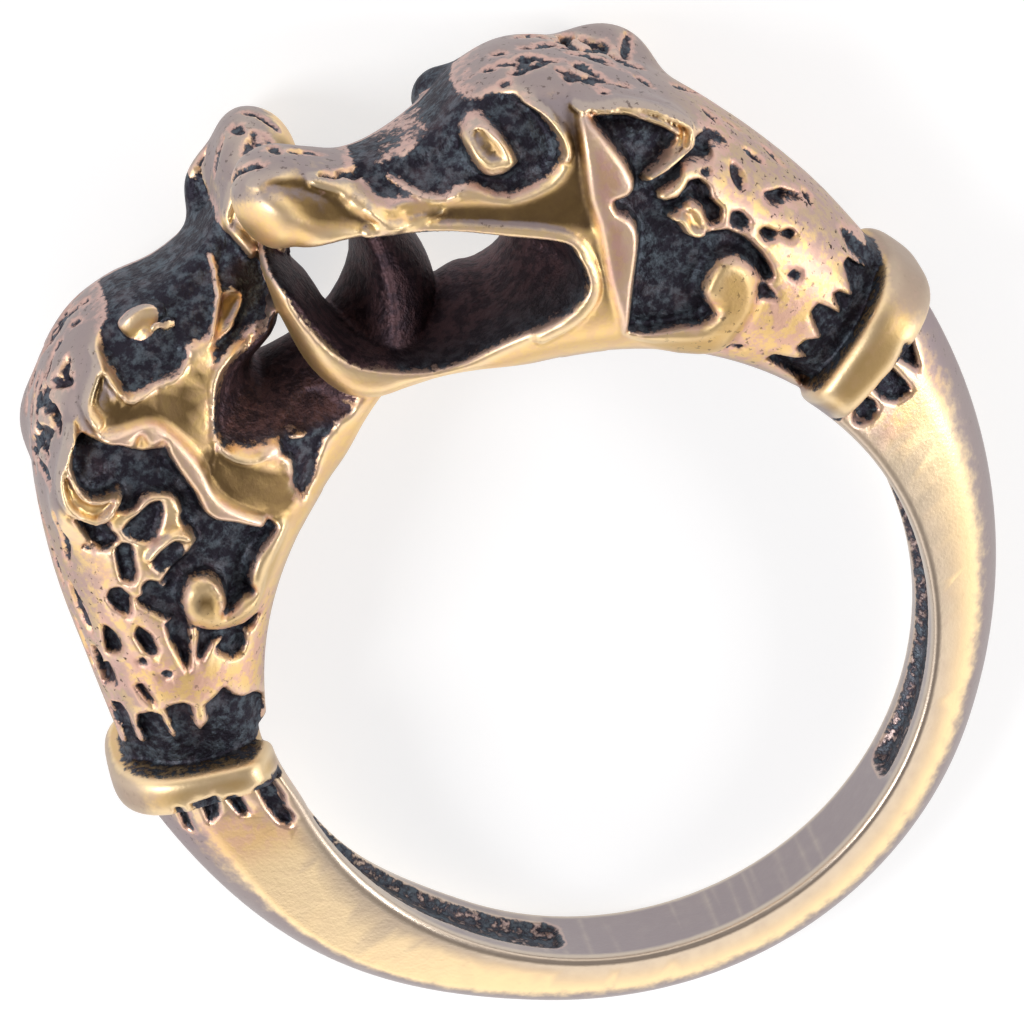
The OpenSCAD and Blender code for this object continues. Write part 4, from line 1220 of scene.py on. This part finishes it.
class WOLFRING_PG_ring(bpy.types.PropertyGroup):
    """Sizes and colours of the ring"""

    band_thick: length_of("Band thickness", "Thickness of the band at its back", 2.2)
    band_wide: length_of("Band width", "Width of the band at its back", 3.3)
    collar_high: length_of("Collar height", "How far the collars stand over the necks", 0.85)
    grain: length_of("Grain", "Step of the wax that the ring is modelled in", 0.09)
    carving: bpy.props.FloatProperty(
        name="Carving", description="Depth of the chased details as a share of the real one's",
        default=1.0, subtype="FACTOR", min=0.0, max=1.5,
    )
    gold: colour_of("Gold", "Rubbed yellow bronze", (0.84, 0.58, 0.24))
    # Straw: the pale, washed-out tone of brightly lit bronze, a painted highlight on the band and, with
    # polish, on rubbed places
    straw_highlight: colour_of("Straw", "Palest bronze, on the band and high places", (0.97, 0.83, 0.61))
    copper: colour_of("Copper", "Coppery bloom round the blacking", (0.74, 0.47, 0.40))
    # Olive: a painted reflection of the dark surroundings, laid in the broad bowls and dents
    olive: colour_of("Olive", "Tarnish in the broad bowls", (0.15, 0.095, 0.04))
    # Mauve: partly dull skin, partly a painted reflection of the dim surroundings, on the outer faces and
    # in the bore
    mauve: colour_of("Mauve", "Dull skin on the outer faces and in the bore", (0.275, 0.235, 0.255))
    # Soil: painted shade in the creases, and real dark specks on the necks
    crease_shade_and_specks: colour_of("Soil", "Dirt in the creases and specks on the necks", (0.07, 0.045, 0.04))
    black: colour_of("Black", "Blacking in the hollows", (0.03, 0.028, 0.04))
    # Glint: painted grey green glints on the blacking
    glint: colour_of("Glint", "Grey green bloom on the blacking", (0.13, 0.165, 0.20))
    rust: colour_of("Rust", "Red brown stains on the blacking", (0.15, 0.09, 0.10))


QUICK_GRAIN, MOST_TRIANGLES = 0.16, 198000


class WOLFRING_OT_cast(bpy.types.Operator):
    """Cast the ring, with its two heads, collars and band"""

    bl_idname = "wolfring.cast"
    bl_label = "Cast ring"

    def execute(self, context):
        look = context.scene.wolf_ring
        wax = Wax(look.grain / MM)
        build(wax, look)
        ring = cast_mesh(wax, "wolf_head_ring", MOST_TRIANGLES)
        co, normal = settle(ring, wax)
        mark_wear_and_painted_light(ring, wax, co, normal)
        ring.data.materials.append(bronze_finish(look))
        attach(ring, "root")
        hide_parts("cast_ring")
        return {"FINISHED"}


# Camera that was fitted to the photograph: focus in pixels, distance from the bore's middle in
# millimetres, turns about X, Y and Z, pixel of the bore's middle, and turn of the fit to the ring
FIT_FOCUS = 6580.0
FIT_AWAY = 200.0
FIT_TURNS = (math.radians(25.0), math.radians(-4.4), math.radians(32.8))
FIT_AXIS = (599.0, 639.5)
FIT_TO_RING = math.radians(-1.75)
PICTURE = (1024, 1020)

# Light of the tent from the horizon, at 0, to right overhead, at 1
TENT = (
    (0.0, (1.38, 1.34, 1.33)),
    (0.4, (1.5, 1.42, 1.33)),
    (0.66, (0.5, 0.46, 0.43)),
    (0.82, (0.24, 0.21, 0.2)),
    (1.0, (0.36, 0.33, 0.33)),
)
# Soft boxes: place, size and power
SOFT_BOXES = ((-0.16, 0.10, 0.20), 0.09, 0.3), ((0.20, -0.12, 0.16), 0.07, 0.2)
# Half the floor's side, its colour, and its own glow, which keeps it as pale as the photo's ground
FLOOR_HALF, FLOOR_COLOUR, FLOOR_GLOW = 1.5, (0.45, 0.455, 0.465, 1), ((0.98, 0.99, 1, 1), 0.64)


def camera_pose():
    """Place and turn of the camera in the world's frame, with the picture's middle on its axis."""
    ax, ay, psi = FIT_TURNS
    view = Matrix.Rotation(psi, 3, "Z") @ Matrix.Rotation(ax, 3, "X") @ Matrix.Rotation(ay, 3, "Y")
    to_world = REST @ Matrix.Rotation(FIT_TO_RING, 3, "Z") @ view.transposed()
    place = to_world @ Vector((0, 0, FIT_AWAY * MM))
    across, up = (PICTURE[0] / 2 - FIT_AXIS[0]) / FIT_FOCUS, (FIT_AXIS[1] - PICTURE[1] / 2) / FIT_FOCUS
    back = -(to_world @ Vector((across, up, -1))).normalized()
    right = (to_world @ Vector((0, 1, 0))).cross(back).normalized()
    turn = Matrix((right, back.cross(right), back)).transposed()
    return place, turn


class WOLFRING_OT_stage(bpy.types.Operator):
    """Lay the floor, hang the lights and set the camera"""

    bl_idname = "wolfring.stage"
    bl_label = "Set the stage"

    def execute(self, context):
        scene = context.scene
        low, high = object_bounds()
        data = bpy.data.cameras.new("camera")
        data.sensor_width = 36
        data.lens = FIT_FOCUS / PICTURE[0] * data.sensor_width
        data.clip_start = 0.01
        camera = bpy.data.objects.new("camera", data)
        place, turn = camera_pose()
        camera.matrix_world = Matrix.Translation(place) @ turn.to_4x4()
        scene.collection.objects.link(camera)
        scene.camera = camera
        mesh = bpy.data.meshes.new("floor")
        sides = ((-1, -1), (1, -1), (1, 1), (-1, 1))
        mesh.from_pydata([(FLOOR_HALF * x, FLOOR_HALF * y, low.z) for x, y in sides], [], [(0, 1, 2, 3)])
        floor = bpy.data.objects.new("floor", mesh)
        scene.collection.objects.link(floor)
        pale = Recipe(bpy.data.materials.new("pale floor"))
        glow, strength = FLOOR_GLOW
        pale.shader.inputs["Base Color"].default_value = FLOOR_COLOUR
        pale.shader.inputs["Roughness"].default_value = 0.9
        pale.shader.inputs["Emission Color"].default_value = glow
        pale.shader.inputs["Emission Strength"].default_value = strength
        mesh.materials.append(pale.owner)
        floor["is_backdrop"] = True
        self.hang_lights(scene)
        scene.view_settings.view_transform = "Standard"
        return {"FINISHED"}

    def hang_lights(self, scene):
        """A white tent overhead with a darker belt round it, and soft boxes."""
        sky = Recipe(bpy.data.worlds.new("studio"))
        way = sky.node("ShaderNodeSeparateXYZ", {}, [Value(sky, sky.coordinates["Generated"])])
        ramp = sky.node("ShaderNodeValToRGB", {"stops": TENT}, [Value(sky, way.outputs["Z"])])
        ramp.color_ramp.interpolation = "EASE"
        sky.feed(Color=Value(sky, ramp.outputs["Color"]))
        scene.world = sky.owner
        for at, size, power in SOFT_BOXES:
            light = bpy.data.lights.new("softbox", "AREA")
            light.size = size
            light.energy = power
            box = bpy.data.objects.new("softbox", light)
            box.location = at
            box.rotation_mode = "QUATERNION"
            box.rotation_quaternion = Vector(at).to_track_quat("Z", "Y")
            scene.collection.objects.link(box)


class WOLFRING_PT_panel(bpy.types.Panel):
    """Steps of making the wolf head ring"""

    bl_label = "Wolf head ring"
    bl_idname = "WOLFRING_PT_panel"
    bl_space_type = "VIEW_3D"
    bl_region_type = "UI"
    bl_category = "Wolf ring"

    def draw(self, context):
        for step in (WOLFRING_OT_cast, WOLFRING_OT_stage):
            self.layout.operator(step.bl_idname)


CLASSES = (WOLFRING_PG_ring, WOLFRING_OT_cast, WOLFRING_OT_stage, WOLFRING_PT_panel)


def register():
    for c in CLASSES:
        bpy.utils.register_class(c)
    bpy.types.Scene.wolf_ring = bpy.props.PointerProperty(type=WOLFRING_PG_ring)


def unregister():
    del bpy.types.Scene.wolf_ring
    for c in reversed(CLASSES):
        bpy.utils.unregister_class(c)


def main():
    register()
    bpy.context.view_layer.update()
    bpy.ops.wolfring.cast()
    bpy.ops.wolfring.stage()


if __name__ == "__main__":
    main()
